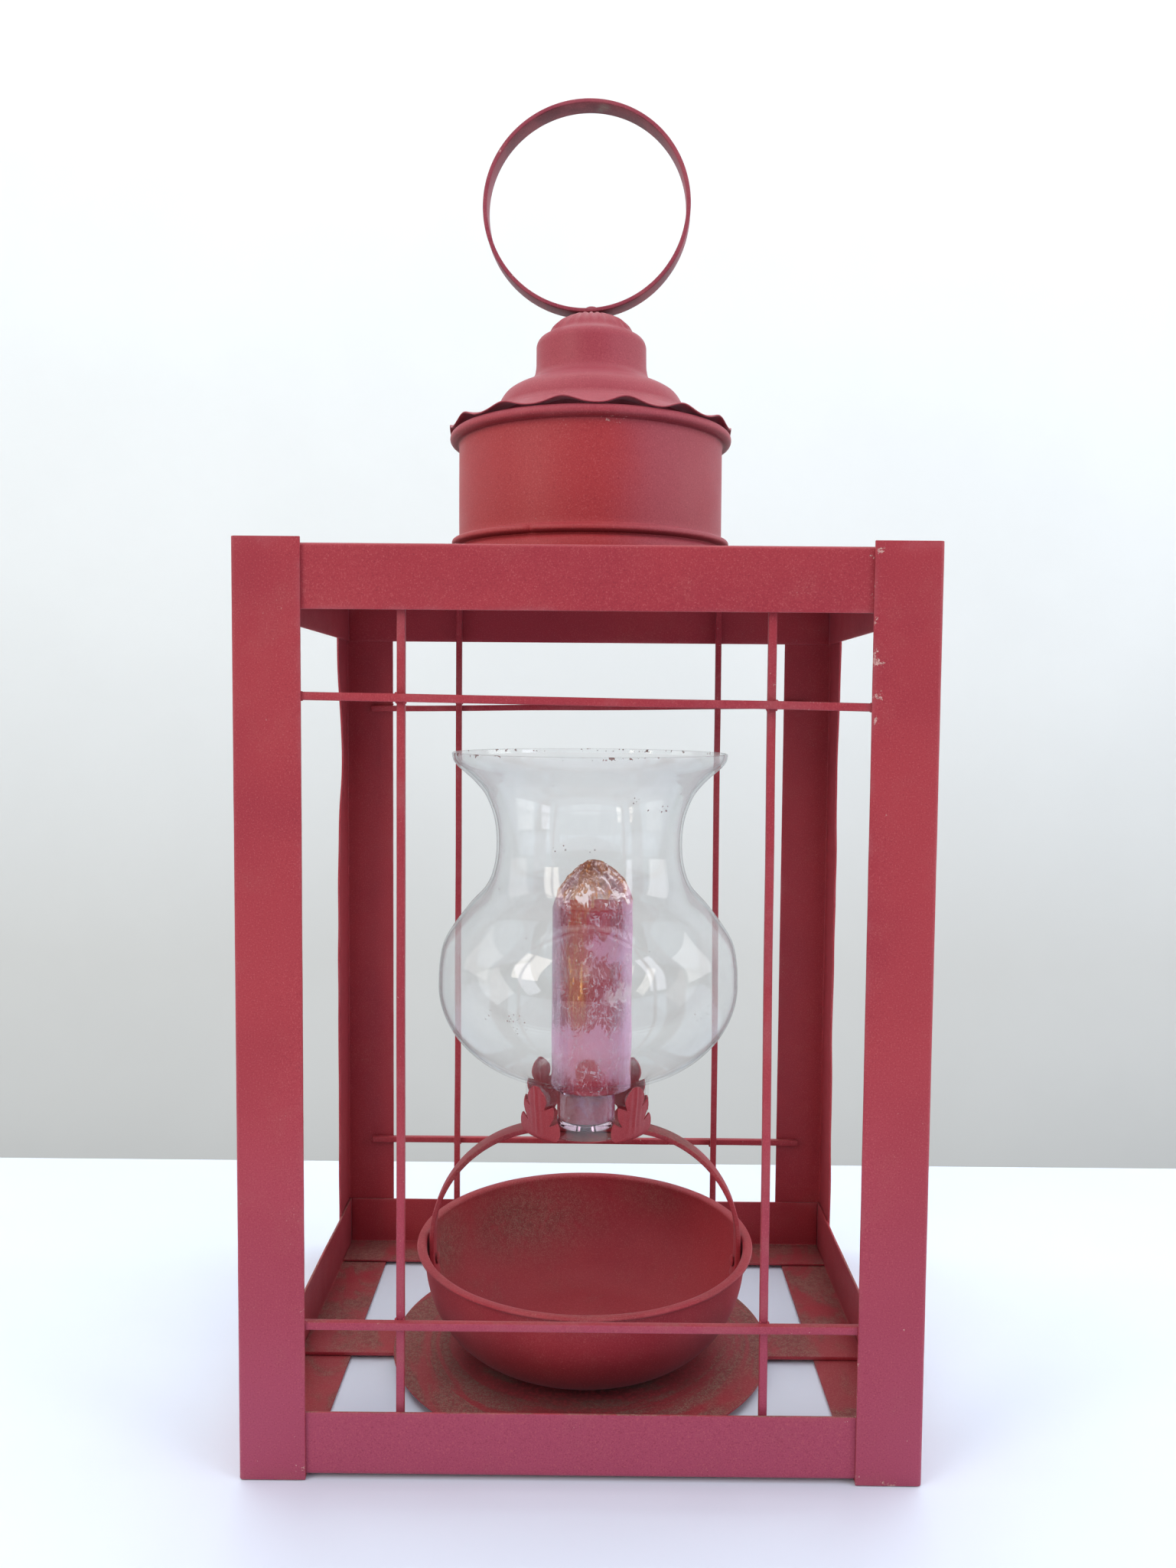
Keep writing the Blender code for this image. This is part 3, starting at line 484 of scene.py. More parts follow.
def stand_off_painted_reflection(graph, x, z, crinkle):
    """Where the film stands off the wax, with torn edges, and the small wedge among it; gives how
    much of the veil, a painted reflection of the sky, each place takes, and the wedge, a painted
    glint.
    """
    torn = graph.noise(scale=75.0, detail=5, rough=0.72, distortion=2.2, offset=(0.4, 0.0, 0.2))
    ragged = (torn - 0.5) * 0.034 + (crinkle - 0.5) * 0.016
    height = z + ragged
    foot = 1.0 - graph.spot((2.1, -24.0, 156.0), 13.0, (1.0, 1.0, 0.85))
    lower = (height.ramp(start=0.1790, end=0.1770) * foot.ramp(start=0.45, end=0.62)
             * height.ramp(start=0.148, end=0.160))
    middle = (height.ramp(start=0.2120, end=0.2150) * height.ramp(start=0.2285, end=0.2265)
              * (x + ragged).ramp(start=-0.0010, end=0.0035))
    wedge = (height.ramp(start=0.1915, end=0.1935) * height.ramp(start=0.2015, end=0.1995)
             * x.ramp(start=0.006, end=0.014))
    side = (x + ragged * 0.6).ramp(start=0.0165, end=0.0240) * 0.80
    off = graph.most(graph.most(lower * 0.85, middle * 0.90), graph.most(wedge, side))
    return graph.most(off, torn.ramp(start=0.55, end=0.66) * 0.30), wedge


def painted_crease_highlights(graph, z, fine):
    """Painted highlights: bright lines where the film is pulled tight, and painted glints on its
    dome.
    """
    wide = graph.noise(scale=48.0, detail=4, rough=0.62, distortion=1.4,
                       stretch=(1, 1, 1.25), offset=(0.2, 0.5, 0.1))
    close = graph.noise(scale=105.0, detail=3, rough=0.60, distortion=2.0,
                        stretch=(1, 1, 0.55), offset=(0.7, 0.1, 0.4))
    wide_line = abs(wide - 0.5).ramp(start=0.016, end=0.003)
    close_line = abs(close - 0.5).ramp(start=0.022, end=0.004)
    line = graph.most(wide_line, close_line * 0.7) * fine.ramp(start=0.38, end=0.58)
    dome = z.ramp(start=0.2415, end=0.2445)
    glint = close.ramp(start=0.56, end=0.64) * dome
    return graph.most(line, glint) * (0.38 + dome * 0.34)


def film(name):
    """Thin wrinkled clear film, hazier where it stands off the wax; the mauve haze is a painted
    reflection of the sky, and its white lines and glints are painted highlights.
    """
    graph = Graph(name)
    fold = graph.attribute("gather")
    crinkle = graph.noise(scale=190.0, detail=5, rough=0.68, distortion=1.6, stretch=(1, 1, 0.30))
    fine = graph.noise(scale=560.0, detail=4, rough=0.65, distortion=1.2, stretch=(1, 1, 0.40))
    drawn = graph.noise(scale=330.0, detail=3, rough=0.6, distortion=0.6, stretch=(1, 1, 0.09))
    strand = (drawn * 0.6 + fine * 0.4).ramp(start=0.50, end=0.60)
    sheen = film_sheen(graph, fold, strand, crinkle, fine)
    x, _, z = graph.split()
    off, wedge = stand_off_painted_reflection(graph, x, z, crinkle)
    crease = painted_crease_highlights(graph, z, fine)
    # the veil's mauve is a painted reflection of the sky; where the film is gathered it turns brown
    # and gold
    gathered = graph.blend(strand, VEIL_BROWN, VEIL_GOLD)
    veil_colour = graph.blend(fold.ramp(start=0.10, end=0.55), MAUVE_FILM_PAINTED_REFLECTION, gathered)
    # painted highlight: white in the veil at the wedge and along the creases
    painted_highlight = graph.most(wedge, crease * 2.0).clamped()
    haze = graph.bsdf("Diffuse", {"Color": graph.blend(painted_highlight, veil_colour, PAINTED_HIGHLIGHT_WHITE)})
    gold = fold * fold * (0.22 + strand * 0.42)
    shader = graph.mix(graph.most(off * 0.235, gold, crease), sheen, haze)
    return graph.finish_clear(shader, tint=(0.96, 0.93, 0.93))


# =============================================================================
# mesh helpers (millimetres in, metres out)
# =============================================================================
def make_piece(name, verts, faces, mat, body, node=None, slot=None, angle=38, **attributes):
    """Builds a smooth object; each extra keyword is a float attribute on its points."""
    mesh = bpy.data.meshes.new(name)
    points = np.asarray(verts, float) * MM
    mesh.from_pydata([tuple(v) for v in points], [], [tuple(map(int, f)) for f in faces])
    for key, values in attributes.items():
        attribute = mesh.attributes.new(key, "FLOAT", "POINT")
        attribute.data.foreach_set("value", np.asarray(values, np.float32))
    edit = bmesh.new()
    edit.from_mesh(mesh)
    bmesh.ops.remove_doubles(edit, verts=edit.verts, dist=1e-7)
    bmesh.ops.recalc_face_normals(edit, faces=edit.faces)
    if edit.calc_volume(signed=True) < 0:
        # a thin shell can be taken for its own inside: turn it out again
        bmesh.ops.reverse_faces(edit, faces=edit.faces)
    edit.to_mesh(mesh)
    edit.free()
    mesh.materials.append(mat)
    mesh.shade_smooth()
    mesh.set_sharp_from_angle(angle=math.radians(angle))
    obj = bpy.data.objects.new(name, mesh)
    SCENE.collection.objects.link(obj)
    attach(obj, body)
    if node:
        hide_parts(node)
    return obj


def painted(name, piece, mat, node=None, angle=45, body="lantern"):
    """A painted object from (verts, faces, wear); wear may be one number for all points."""
    verts, faces, wear = piece
    wear = np.broadcast_to(wear, len(verts))
    return make_piece(name, verts, faces, mat, body, node, PAINT_SLOT, angle, wear=wear)


def xyz(x, y, z):
    """Points from coordinates that may be arrays or single numbers."""
    return np.stack(np.broadcast_arrays(x, y, z), -1)


def sway(x, y, z):
    """Smooth noise between about -1 and 1."""
    return noise.noise(Vector((x, y, z)))


def arc(x, y, radius, start, end, steps):
    """Points on an arc, angles in degrees, both ends kept."""
    turns = [math.radians(start + (end - start) * i / steps) for i in range(steps + 1)]
    return [(x + radius * math.cos(turn), y + radius * math.sin(turn)) for turn in turns]


def straight(start, end, steps):
    """Points from start towards end, end left out."""
    start, end = np.array(start, float), np.array(end, float)
    return [tuple(start + (end - start) * i / steps) for i in range(steps)]


def through(stations, steps):
    """Points on a smooth curve through (r, z) stations."""
    given = np.array(stations, float)
    points = []
    last = len(given) - 1
    for i in range(last):
        before, start, end, after = given[[max(i - 1, 0), i, i + 1, min(i + 2, last)]]
        for k in range(steps):
            t = k / steps
            points.append(tuple(0.5 * (
                2 * start + (end - before) * t
                + (2 * before - 5 * start + 4 * end - after) * t * t
                + (3 * start - before - 3 * end + after) * t ** 3)))
    return points + [tuple(given[-1])]


def line_normals(line):
    """Unit directions along an open line, and unit vectors to its left."""
    points = np.array(line, float)
    along = np.zeros_like(points)
    along[1:-1] = points[2:] - points[:-2]
    along[0] = points[1] - points[0]
    along[-1] = points[-1] - points[-2]
    along /= np.linalg.norm(along, axis=1)[:, None]
    return along, np.stack([-along[:, 1], along[:, 0]], 1)


def eased(points, first, last, passes):
    """Rounds off the joins in points[first:last]."""
    points = np.array(points, float)
    for _ in range(passes):
        before, after = points[first - 1:last - 1], points[first + 1:last + 1]
        points[first:last] = 0.25 * before + 0.5 * points[first:last] + 0.25 * after
    return points


def ribbon(line, thick, tip, setback=2.0):
    """Closed outline of a sheet that follows a line, and how exposed each point is."""
    along, left = line_normals(line)
    points = np.array(line, float)
    half = thick / 2

    def end_cap(end, out, side):
        cap = [end - out * setback + side * half]
        for start, finish, across in ((side, out, side), (out, -side, -side)):
            centre = end - out * tip + across * (half - tip)
            for turn in map(math.radians, (0, 30, 60, 90)):
                cap.append(centre + (start * math.cos(turn) + finish * math.sin(turn)) * tip)
        return cap + [end - out * setback - side * half]

    outline = [*(points + left * half)[1:-1], *end_cap(points[-1], along[-1], left[-1]),
               *(points - left * half)[-2:0:-1], *end_cap(points[0], -along[0], -left[0])]
    wear = [0.0] * (len(points) - 2) + [0.15] + [1.0] * 8 + [0.15]
    return np.array(outline), np.array(wear * 2)


def outline_inward(points):
    """Unit vectors that point into a closed outline."""
    following = np.roll(points, -1, 0)
    along = following - np.roll(points, 1, 0)
    along /= np.linalg.norm(along, axis=1)[:, None] + 1e-12
    area = 0.5 * np.sum(points[:, 0] * following[:, 1] - following[:, 0] * points[:, 1])
    return np.stack([-along[:, 1], along[:, 0]], 1) * (1.0 if area > 0 else -1.0)


def band_faces(rings, count):
    """Quads between neighbouring closed rings of count points."""
    return [(k * count + i, k * count + (i + 1) % count,
             (k + 1) * count + (i + 1) % count, (k + 1) * count + i)
            for k in range(rings - 1) for i in range(count)]


def tube_faces(rings, count):
    """Quads between rings, and a cap on each end."""
    last = (rings - 1) * count
    return band_faces(rings, count) + [tuple(range(count)),
                                       tuple(range(last, last + count))[::-1]]


def sweep(outline, wear, stations, place, ease=0.25):
    """A closed outline swept along stations, with eased ends. place(outline, station) gives xyz."""
    inward = outline_inward(outline)
    first, last = stations[0], stations[-1]
    # (station, share of ease the outline is drawn in by)
    plan = [(first, 1.0), (first + 0.3 * ease, 0.3), (first + ease, 0.0)]
    plan += [(station, 0.0) for station in stations[1:-1]]
    plan += [(last - ease, 0.0), (last - 0.3 * ease, 0.3), (last, 1.0)]
    rings = [place(outline + inward * (inset * ease), station) for station, inset in plan]
    end_wear = np.maximum(wear, 0.9)
    middle_wear = np.tile(wear, len(plan) - 6)
    tone = np.concatenate([np.tile(end_wear, 3), middle_wear, np.tile(end_wear, 3)])
    return np.concatenate(rings), tube_faces(len(plan), len(outline)), tone


def turned_points(profile, segments, centre, shape):
    """An (r, z) profile turned about an upright axis. shape(radius, z, turn) may move points."""
    profile = np.array(profile, float)
    turn = 2 * np.pi * np.arange(segments) / segments
    radius, turn = np.meshgrid(profile[:, 0], turn)
    z = np.repeat(profile[None, :, 1], segments, 0)
    if shape:
        radius, z = shape(radius, z, turn)
    x = centre[0] + radius * np.cos(turn)
    y = centre[1] + radius * np.sin(turn)
    return xyz(x, y, z).reshape(-1, 3)


def lathe(profile, segments, centre, shape=None):
    """Turns a closed profile."""
    count = len(profile)
    faces = [(i * count + k, (i + 1) % segments * count + k,
              (i + 1) % segments * count + (k + 1) % count, i * count + (k + 1) % count)
             for i in range(segments) for k in range(count)]
    return turned_points(profile, segments, centre, shape), faces


def solid_lathe(profile, segments, centre, shape=None):
    """Turns a profile that begins and ends on the axis; make_piece welds the axis points."""
    count = len(profile)
    faces = []
    for i in range(segments):
        here, there = i * count, (i + 1) % segments * count
        faces.append((here, there + 1, here + 1))
        faces += [(here + k, there + k, there + k + 1, here + k + 1) for k in range(1, count - 2)]
        k = count - 2
        faces.append((here + k, there + k, here + k + 1))
    return turned_points(profile, segments, centre, shape), faces


def radius_from(centre, verts):
    return np.hypot(verts[:, 0] - centre[0], verts[:, 1] - centre[1])


def round_square(width, height, corner, steps=3):
    """A rectangle with rounded corners."""
    x, y = width / 2 - corner, height / 2 - corner
    return np.array(arc(x, y, corner, 0, 90, steps) + arc(-x, y, corner, 90, 180, steps)
                    + arc(-x, -y, corner, 180, 270, steps) + arc(x, -y, corner, 270, 360, steps))


def edge_wear(section, width, band, amount):
    """Wear on the points of a section within a band of its two narrow edges."""
    return np.where(np.abs(section) > width / 2 - band, amount, 0.0)


def outer_face(node, axis):
    """Which side of the middle a node lies on, and where its outer face is."""
    low, high = box_mm(node)
    return (1, high[axis]) if low[axis] + high[axis] > 0 else (-1, low[axis])


# =============================================================================
# cage: posts and rails, folded angles
# =============================================================================
SHEET = 1.2
BEND_R = 2.0
FLANGE_STEPS = 7
POST_ROOT = 6.0     # how far from the fold a flange stays straight
RAIL_ROOT = 5.0


def angle_outline(width, depth):
    """Folded angle with two flanges, its outer corner at (0, 0)."""
    half = SHEET / 2
    line = straight((width, half), (BEND_R, half), FLANGE_STEPS)
    line += arc(BEND_R, BEND_R, BEND_R - half, 270, 180, 6)
    line += straight((half, BEND_R), (half, depth), FLANGE_STEPS)[1:] + [(half, depth)]
    return ribbon(line, SHEET, tip=0.28)


def flange_reach(distance, width, root, power):
    """0 near the fold, 1 at the free edge."""
    return np.clip((distance - root) / (width - root), 0, 1) ** power


post_paint = paint("post_paint", dust=0.30, chip_spots=[
    ((123.0, -120.0, 412.0), 7.0, 0.24), ((123.0, -120.0, 399.0), 5.5, 0.22),
    ((123.0, -120.0, 384.0), 5.0, 0.21), ((123.2, -120.0, 366.0), 8.0, 0.24),
    ((123.6, -120.0, 352.0), 7.0, 0.25), ((124.2, -120.0, 340.0), 4.0, 0.18),
    ((-124.0, -120.0, 6.0), 6.0, 0.12), ((124.0, -120.0, 4.0), 7.0, 0.16),
    ((140.0, -120.0, 1.0), 9.0, 0.12), ((-130.0, -120.0, 372.0), 5.0, 0.11),
])
top_rail_paint = paint("rail_paint", dust=0.30, chips=0.8, chip_spots=[
    ((121.5, -118.5, 410.0), 5.0, 0.20), ((121.8, -118.5, 394.0), 4.0, 0.16),
    ((-3.0, -118.5, 388.0), 2.5, 0.16),
])
bottom_rail_paint = paint("bottom_rail_paint", dust=0.92, chips=0.8, chip_spots=[
    ((112.0, -110.0, 2.0), 6.0, 0.18), ((118.0, -118.5, 29.0), 4.0, 0.16),
    ((-120.0, -118.5, 2.0), 4.0, 0.14),
])


def corner_post(node, seed):
    low, high = box_mm(node)
    side_x, outer_x = outer_face(node, 0)
    side_y, outer_y = outer_face(node, 1)
    width, depth = (high - low)[:2]
    outline, wear = angle_outline(width, depth)

    def place(section, z):
        across, along = section.T
        # the side flange bows in a little towards its free edge
        slow = sway(seed * 5.0, 1.7, z * 0.010)
        quick = sway(seed * 9.0, 4.1, z * 0.030)
        ripple = 0.05 * sway(seed * 2.0, 8.0, z * 0.06)
        bow = 0.7 + 1.2 * slow + 0.5 * quick
        if node == "corner_post_rear_left":
            bow += 3.4 * math.exp(-((z - 318.0) / 46.0) ** 2)
        inward_x = across + bow * flange_reach(along, depth, POST_ROOT, 1.6)
        lift = max(0.0, 0.12 + 0.22 * quick)
        inward_y = along + lift * flange_reach(across, width, POST_ROOT, 1.6)
        return xyz(outer_x - side_x * np.maximum(inward_x + ripple, 0),
                   outer_y - side_y * np.maximum(inward_y + ripple, 0), z)

    piece = sweep(outline, wear, np.linspace(low[2], high[2], 60), place)
    painted(node.replace("corner_post", "folded_post"), piece, post_paint, node, angle=50)


def rail(node, seed):
    low, high = box_mm(node)
    top = "top" in node
    end_rail = "front" in node or "rear" in node
    start_z, up = (high[2], -1) if top else (low[2], 1)
    height = high[2] - low[2]
    axis = 1 if end_rail else 0
    length_axis = 1 - axis
    side, face = outer_face(node, axis)
    flange = high[axis] - low[axis]
    outline, wear = angle_outline(flange, height)

    def place(section, along):
        level, upright = section.T
        slow = sway(seed * 4.0, 2.2, along * 0.012)
        quick = sway(seed * 7.0, 6.1, along * 0.035)
        bow = max(0.0, 0.15 + 0.35 * slow + 0.15 * quick)
        inward = level + bow * flange_reach(upright, height, RAIL_ROOT, 1.5)
        lift = 0.25 * quick if top else 0.0
        rise = upright + lift * flange_reach(level, flange, RAIL_ROOT, 1.5)
        across = side * (abs(face) - inward)
        z = start_z + up * np.maximum(rise, 0)
        return xyz(along, across, z) if end_rail else xyz(across, along, z)

    stations = np.linspace(low[length_axis], high[length_axis], 50)
    mat = top_rail_paint if top else bottom_rail_paint
    piece = sweep(outline, wear, stations, place)
    painted(node.replace("rail", "folded_rail"), piece, mat, node, angle=50)


for seed, corner in enumerate(("front_left", "front_right", "rear_left", "rear_right"), 1):
    corner_post(f"corner_post_{corner}", seed)
RAILS = [f"{level}_rail_{side}" for level in ("top", "bottom")
         for side in ("front", "rear", "left", "right")]
for seed, node in enumerate(RAILS, 1):
    rail(node, seed)

# =============================================================================
# guard grid: square bars and rods, and the weld blobs at crossings
# =============================================================================
bar_paint = paint("bar_paint", dust=0.42, chips=0.9, haze=0.22, chip_spots=[
    ((100.0, -118.5, 348.0), 9.0, 0.13), ((112.0, -118.5, 347.0), 6.0, 0.12),
    ((-70.0, -118.5, 70.0), 6.0, 0.10),
])
rod_paint = paint("rod_paint", dust=0.40, chips=0.9, haze=0.25)

BAR = 3.6
BAR_SECTION = round_square(BAR, BAR, 0.55)
BAR_WEAR = np.full(len(BAR_SECTION), 0.75)
BAR_EASE = 0.5
# sag at the middle, height shift, and slope towards +x; the upper bars are out of level
BARS = {
    "front_upper_bar": SimpleNamespace(sag=0.0, shift=0.1, slope=-0.0125),
    "front_lower_bar": SimpleNamespace(sag=-0.2, shift=0.0, slope=0.0),
    "rear_upper_bar": SimpleNamespace(sag=-0.3, shift=-1.0, slope=0.0150),
    "rear_lower_bar": SimpleNamespace(sag=0.2, shift=0.0, slope=0.0),
}


def level_bar(node, bar, seed):
    low, high = box_mm(node)
    middle = (low + high) / 2

    def place(section, x):
        t = (x - middle[0]) / (high[0] - middle[0])
        rise = bar.shift + bar.slope * x + bar.sag * (1 - t * t)
        rise += 0.35 * sway(seed * 3.3, 1.0, x * 0.014) * (1 - t ** 4)
        wander = 0.10 * sway(seed * 5.3, 7.0, x * 0.016)
        return xyz(x, middle[1] + section[:, 0] + wander, middle[2] + section[:, 1] + rise)

    piece = sweep(BAR_SECTION, BAR_WEAR, np.linspace(low[0], high[0], 70), place, BAR_EASE)
    painted(node.replace("_bar", "_square_bar"), piece, bar_paint, node, angle=60)


def rod_line(node):
    """A leaning rod's x at its foot and head, its y, and its lowest and highest z."""
    low, high = box_mm(node)
    foot_x, head_x = low[0] + BAR / 2, high[0] - BAR / 2
    if low[0] + high[0] >= 0:
        foot_x, head_x = head_x, foot_x
    return foot_x, head_x, (low[1] + high[1]) / 2, low[2], high[2]


def upright_rod(node, seed):
    foot_x, head_x, y, foot_z, head_z = rod_line(node)

    def place(section, z):
        t = (z - foot_z) / (head_z - foot_z)
        wander = 0.45 * sway(seed * 3.9, 5.0, z * 0.011) * min(1, 4 * t, 4 * (1 - t))
        return xyz(foot_x + (head_x - foot_x) * t + wander + section[:, 0], y + section[:, 1], z)

    piece = sweep(BAR_SECTION, BAR_WEAR, np.linspace(foot_z, head_z, 90), place, BAR_EASE)
    painted(node.replace("_rod", "_square_rod"), piece, rod_paint, node, angle=60)


def blob(centre, radii, seed, rings=7, segments=14):
    """A lumpy drop of weld under paint."""
    verts = []
    for i in range(rings + 1):
        tilt = math.pi * i / rings
        for j in range(segments):
            turn = 2 * math.pi * j / segments
            ray = np.array([math.sin(tilt) * math.cos(turn), math.sin(tilt) * math.sin(turn),
                            math.cos(tilt)])
            lump = 1 + 0.22 * sway(*(ray * 1.7 + (seed * 3.1, 0, 0)))
            verts.append(np.array(centre) + ray * np.array(radii) * lump)
    return verts, band_faces(rings + 1, segments)


def weld_piece(name, parts):
    """Joins blobs into one painted object."""
    verts, faces = [], []
    for part_verts, part_faces in parts:
        base = len(verts)
        verts += part_verts
        faces += [tuple(i + base for i in face) for face in part_faces]
    painted(name, (verts, faces, 0.2), rod_paint, angle=180)


def grid_welds(end, seed):
    parts = []
    side_y, face = outer_face(f"{end}_upper_bar", 1)
    crossing_y = side_y * (abs(face) - BAR - 0.1)
    bar_end_y = side_y * (abs(face) - 0.9)
    for level in ("upper", "lower"):
        node = f"{end}_{level}_bar"
        low, high = box_mm(node)
        z = (low[2] + high[2]) / 2
        slope = BARS[node].slope
        for side, side_x in (("left", -1), ("right", 1)):
            foot_x, head_x, _, foot_z, head_z = rod_line(f"{end}_{side}_rod")
            x = foot_x + (head_x - foot_x) * (z - foot_z) / (head_z - foot_z)
            for dx, dz in ((-1.75, 1.75), (1.75, 1.75), (-1.75, -1.75), (1.75, -1.75)):
                seed += 1
                size = 0.62 + 0.35 * (sway(seed * 1.7, 0.3, 2.0) > 0.1)
                centre = (x + dx, crossing_y, z + slope * x + dz)
                parts.append(blob(centre, (size, 0.8, size), seed))
            # the bar's end on the post's inner edge
            post_low, post_high = box_mm(f"corner_post_{end}_{side}")
            edge = post_high[0] if side_x < 0 else post_low[0]
            for dz in (1.52, -1.52):
                seed += 1
                centre = (edge + side_x * 0.1, bar_end_y, z + slope * edge + dz)
                parts.append(blob(centre, (0.8, 0.7, 0.6), seed))
    return parts


def rod_end_welds():
    parts = []
    for node in RODS:
        foot_x, head_x, y, foot_z, head_z = rod_line(node)
        for x, z in ((foot_x, foot_z + 0.4), (head_x, head_z - 0.4)):
            for dx in (-1.9, 1.9):
                parts.append(blob((x + dx, y, z), (1.3, 1.5, 1.0), seed=x * 0.1 + z + dx))
    return parts


RODS = ("front_left_rod", "front_right_rod", "rear_left_rod", "rear_right_rod")
for seed, (node, bar) in enumerate(BARS.items(), 1):
    level_bar(node, bar, seed)
for seed, node in enumerate(RODS, 11):
    upright_rod(node, seed)
for seed, end in enumerate(("front", "rear"), 1):
    weld_piece(f"{end}_grid_welds", grid_welds(end, seed))
weld_piece("rod_end_welds", rod_end_welds())

# =============================================================================
# roof plate, collar, drum
# =============================================================================
# the drum's left gets painted warm light, its right side and the cap painted sheen, and faces that
# look down painted shade
vent_paint = paint("vent_paint", dust=0.10, chips=0.6, warm=0.40, haze=0.05, under=0.55,
                   chip_spots=[((9.0, -68.5, 480.0), 6.0, 0.26), ((15.0, -67.5, 479.6), 6.0, 0.20),
                               ((-23.0, -68.0, 486.0), 5.0, 0.14)])
VENT = middle_xy("vent_drum")
ROOF_HOLE_R = 60.0
ROOF_RING = 96      # points round the hole and round the plate
ROOF_EASE = 0.25


def roof_plate():
    """A rectangular plate with a round hole. Four rings line the hole, four the outer edge."""
    low, high = box_mm("roof_plate")
    edge = ((high[2], ROOF_EASE), (high[2] - ROOF_EASE, 0.0),
            (low[2] + ROOF_EASE, 0.0), (low[2], ROOF_EASE))
    turn = 2 * np.pi * np.arange(ROOF_RING) / ROOF_RING
    ray = np.stack([np.cos(turn), np.sin(turn)], 1)
    hole_rings, outer_rings = [], []
    for z, inset in edge:
        rim = VENT + (ROOF_HOLE_R + inset) * ray
        hole_rings.append(xyz(rim[:, 0], rim[:, 1], z))
        half = high[:2] - inset
        border = ray * np.min(half / np.maximum(np.abs(ray), 1e-9), axis=1)[:, None]
        # the nearest point to each corner moves onto it, as the rays may miss it
        for signs in ((-1, -1), (-1, 1), (1, -1), (1, 1)):
            corner = high[:2] * signs
            border[np.argmin(np.linalg.norm(border - corner, axis=1))] = half * signs
        outer_rings.append(xyz(border[:, 0], border[:, 1], z))
    count, outer = ROOF_RING, 4 * ROOF_RING
    pairs = [(i, (i + 1) % count) for i in range(count)]
    faces = []
    for top in range(0, 3 * count, count):
        under = top + count
        for i, j in pairs:
            faces.append((top + i, top + j, under + j, under + i))
            faces.append((outer + top + j, outer + top + i, outer + under + i, outer + under + j))
    base = 3 * count
    for i, j in pairs:
        faces.append((i, outer + i, outer + j, j))
        faces.append((base + j, outer + base + j, outer + base + i, base + i))
    return np.concatenate(hole_rings + outer_rings), faces, 0.8


painted("roof_sheet", roof_plate(), paint("roof_paint", dust=0.85, chips=0.6), "roof_plate",
        angle=40)

COLLAR_HOLE_R = 61.0


def collar():
    """An upright ring with a flange turned in at its foot."""
    low, high = box_mm("vent_collar")
    radius = half_width("vent_collar")
    foot, top = low[2], high[2]
    profile = [(COLLAR_HOLE_R, foot), (radius - 2.0, foot)]
    profile += arc(radius - 1.6, foot + 1.6, 1.6, 270, 360, 5) + [(radius, top - 0.3)]
    profile += arc(radius - 0.45, top - 0.3, 0.45, 0, 180, 5) + [(radius - 0.9, foot + 1.8)]
    profile += arc(radius - 1.7, foot + 1.7, 0.8, 0, -90, 4) + [(COLLAR_HOLE_R, foot + 0.9)]
    return *lathe(profile, 144, VENT), 0.0


painted("drum_collar", collar(), vent_paint, "vent_collar")

DRUM_BOTTOM = box_mm("vent_drum")[0][2]
DRUM_R = 68.3
DRUM_T = 0.8
FOOT_R = 72.3
# the beads: height of the middle, outer radius, radius of the roll
LOW_Z, LOW_R, LOW_ROLL = 430.9, 72.1, 1.65
TOP_Z, TOP_R, TOP_ROLL = 483.8, 73.0, 2.8
SEAM = math.radians(-90 - 23.7)     # front, left of the middle


def around(turn, centre):
    """Signed angle from a centre, in radians."""
    return (turn - centre + np.pi) % (2 * np.pi) - np.pi


def drum_shape(radius, z, turn):
    off_seam = around(turn, SEAM) * 70.0        # mm round the drum
    lap = (1 / (1 + np.exp(-(off_seam + 7.5) / 0.5))
           / (1 + np.exp((off_seam - 7.5) / 0.5)))
    on_bead = np.clip((radius - DRUM_R - 0.3) / 1.5, 0, 1) * (z > LOW_Z - LOW_ROLL - 0.3)
    # the low bead was rolled a little out of level
    z = z + 1.1 * np.sin(turn) * np.exp(-((z - LOW_Z) / 4.5) ** 2)
    radius = radius + 0.40 * lap * on_bead * (z > 470)
    # its two ends meet with a small notch
    on_low_bead = (np.abs(z - LOW_Z) < 5) * on_bead
    radius = radius - 1.5 * np.exp(-(off_seam / 1.3) ** 2) * on_low_bead
    radius = radius + 0.25 * np.exp(-((np.abs(off_seam) - 3.2) / 1.8) ** 2) * on_low_bead
    # the rolled sheet is never quite round
    radius = radius + 0.16 * np.sin(3 * turn + 0.7) * (np.abs(z - 455) < 40)
    return radius + 0.08 * np.sin(7 * turn + z * 0.05), z


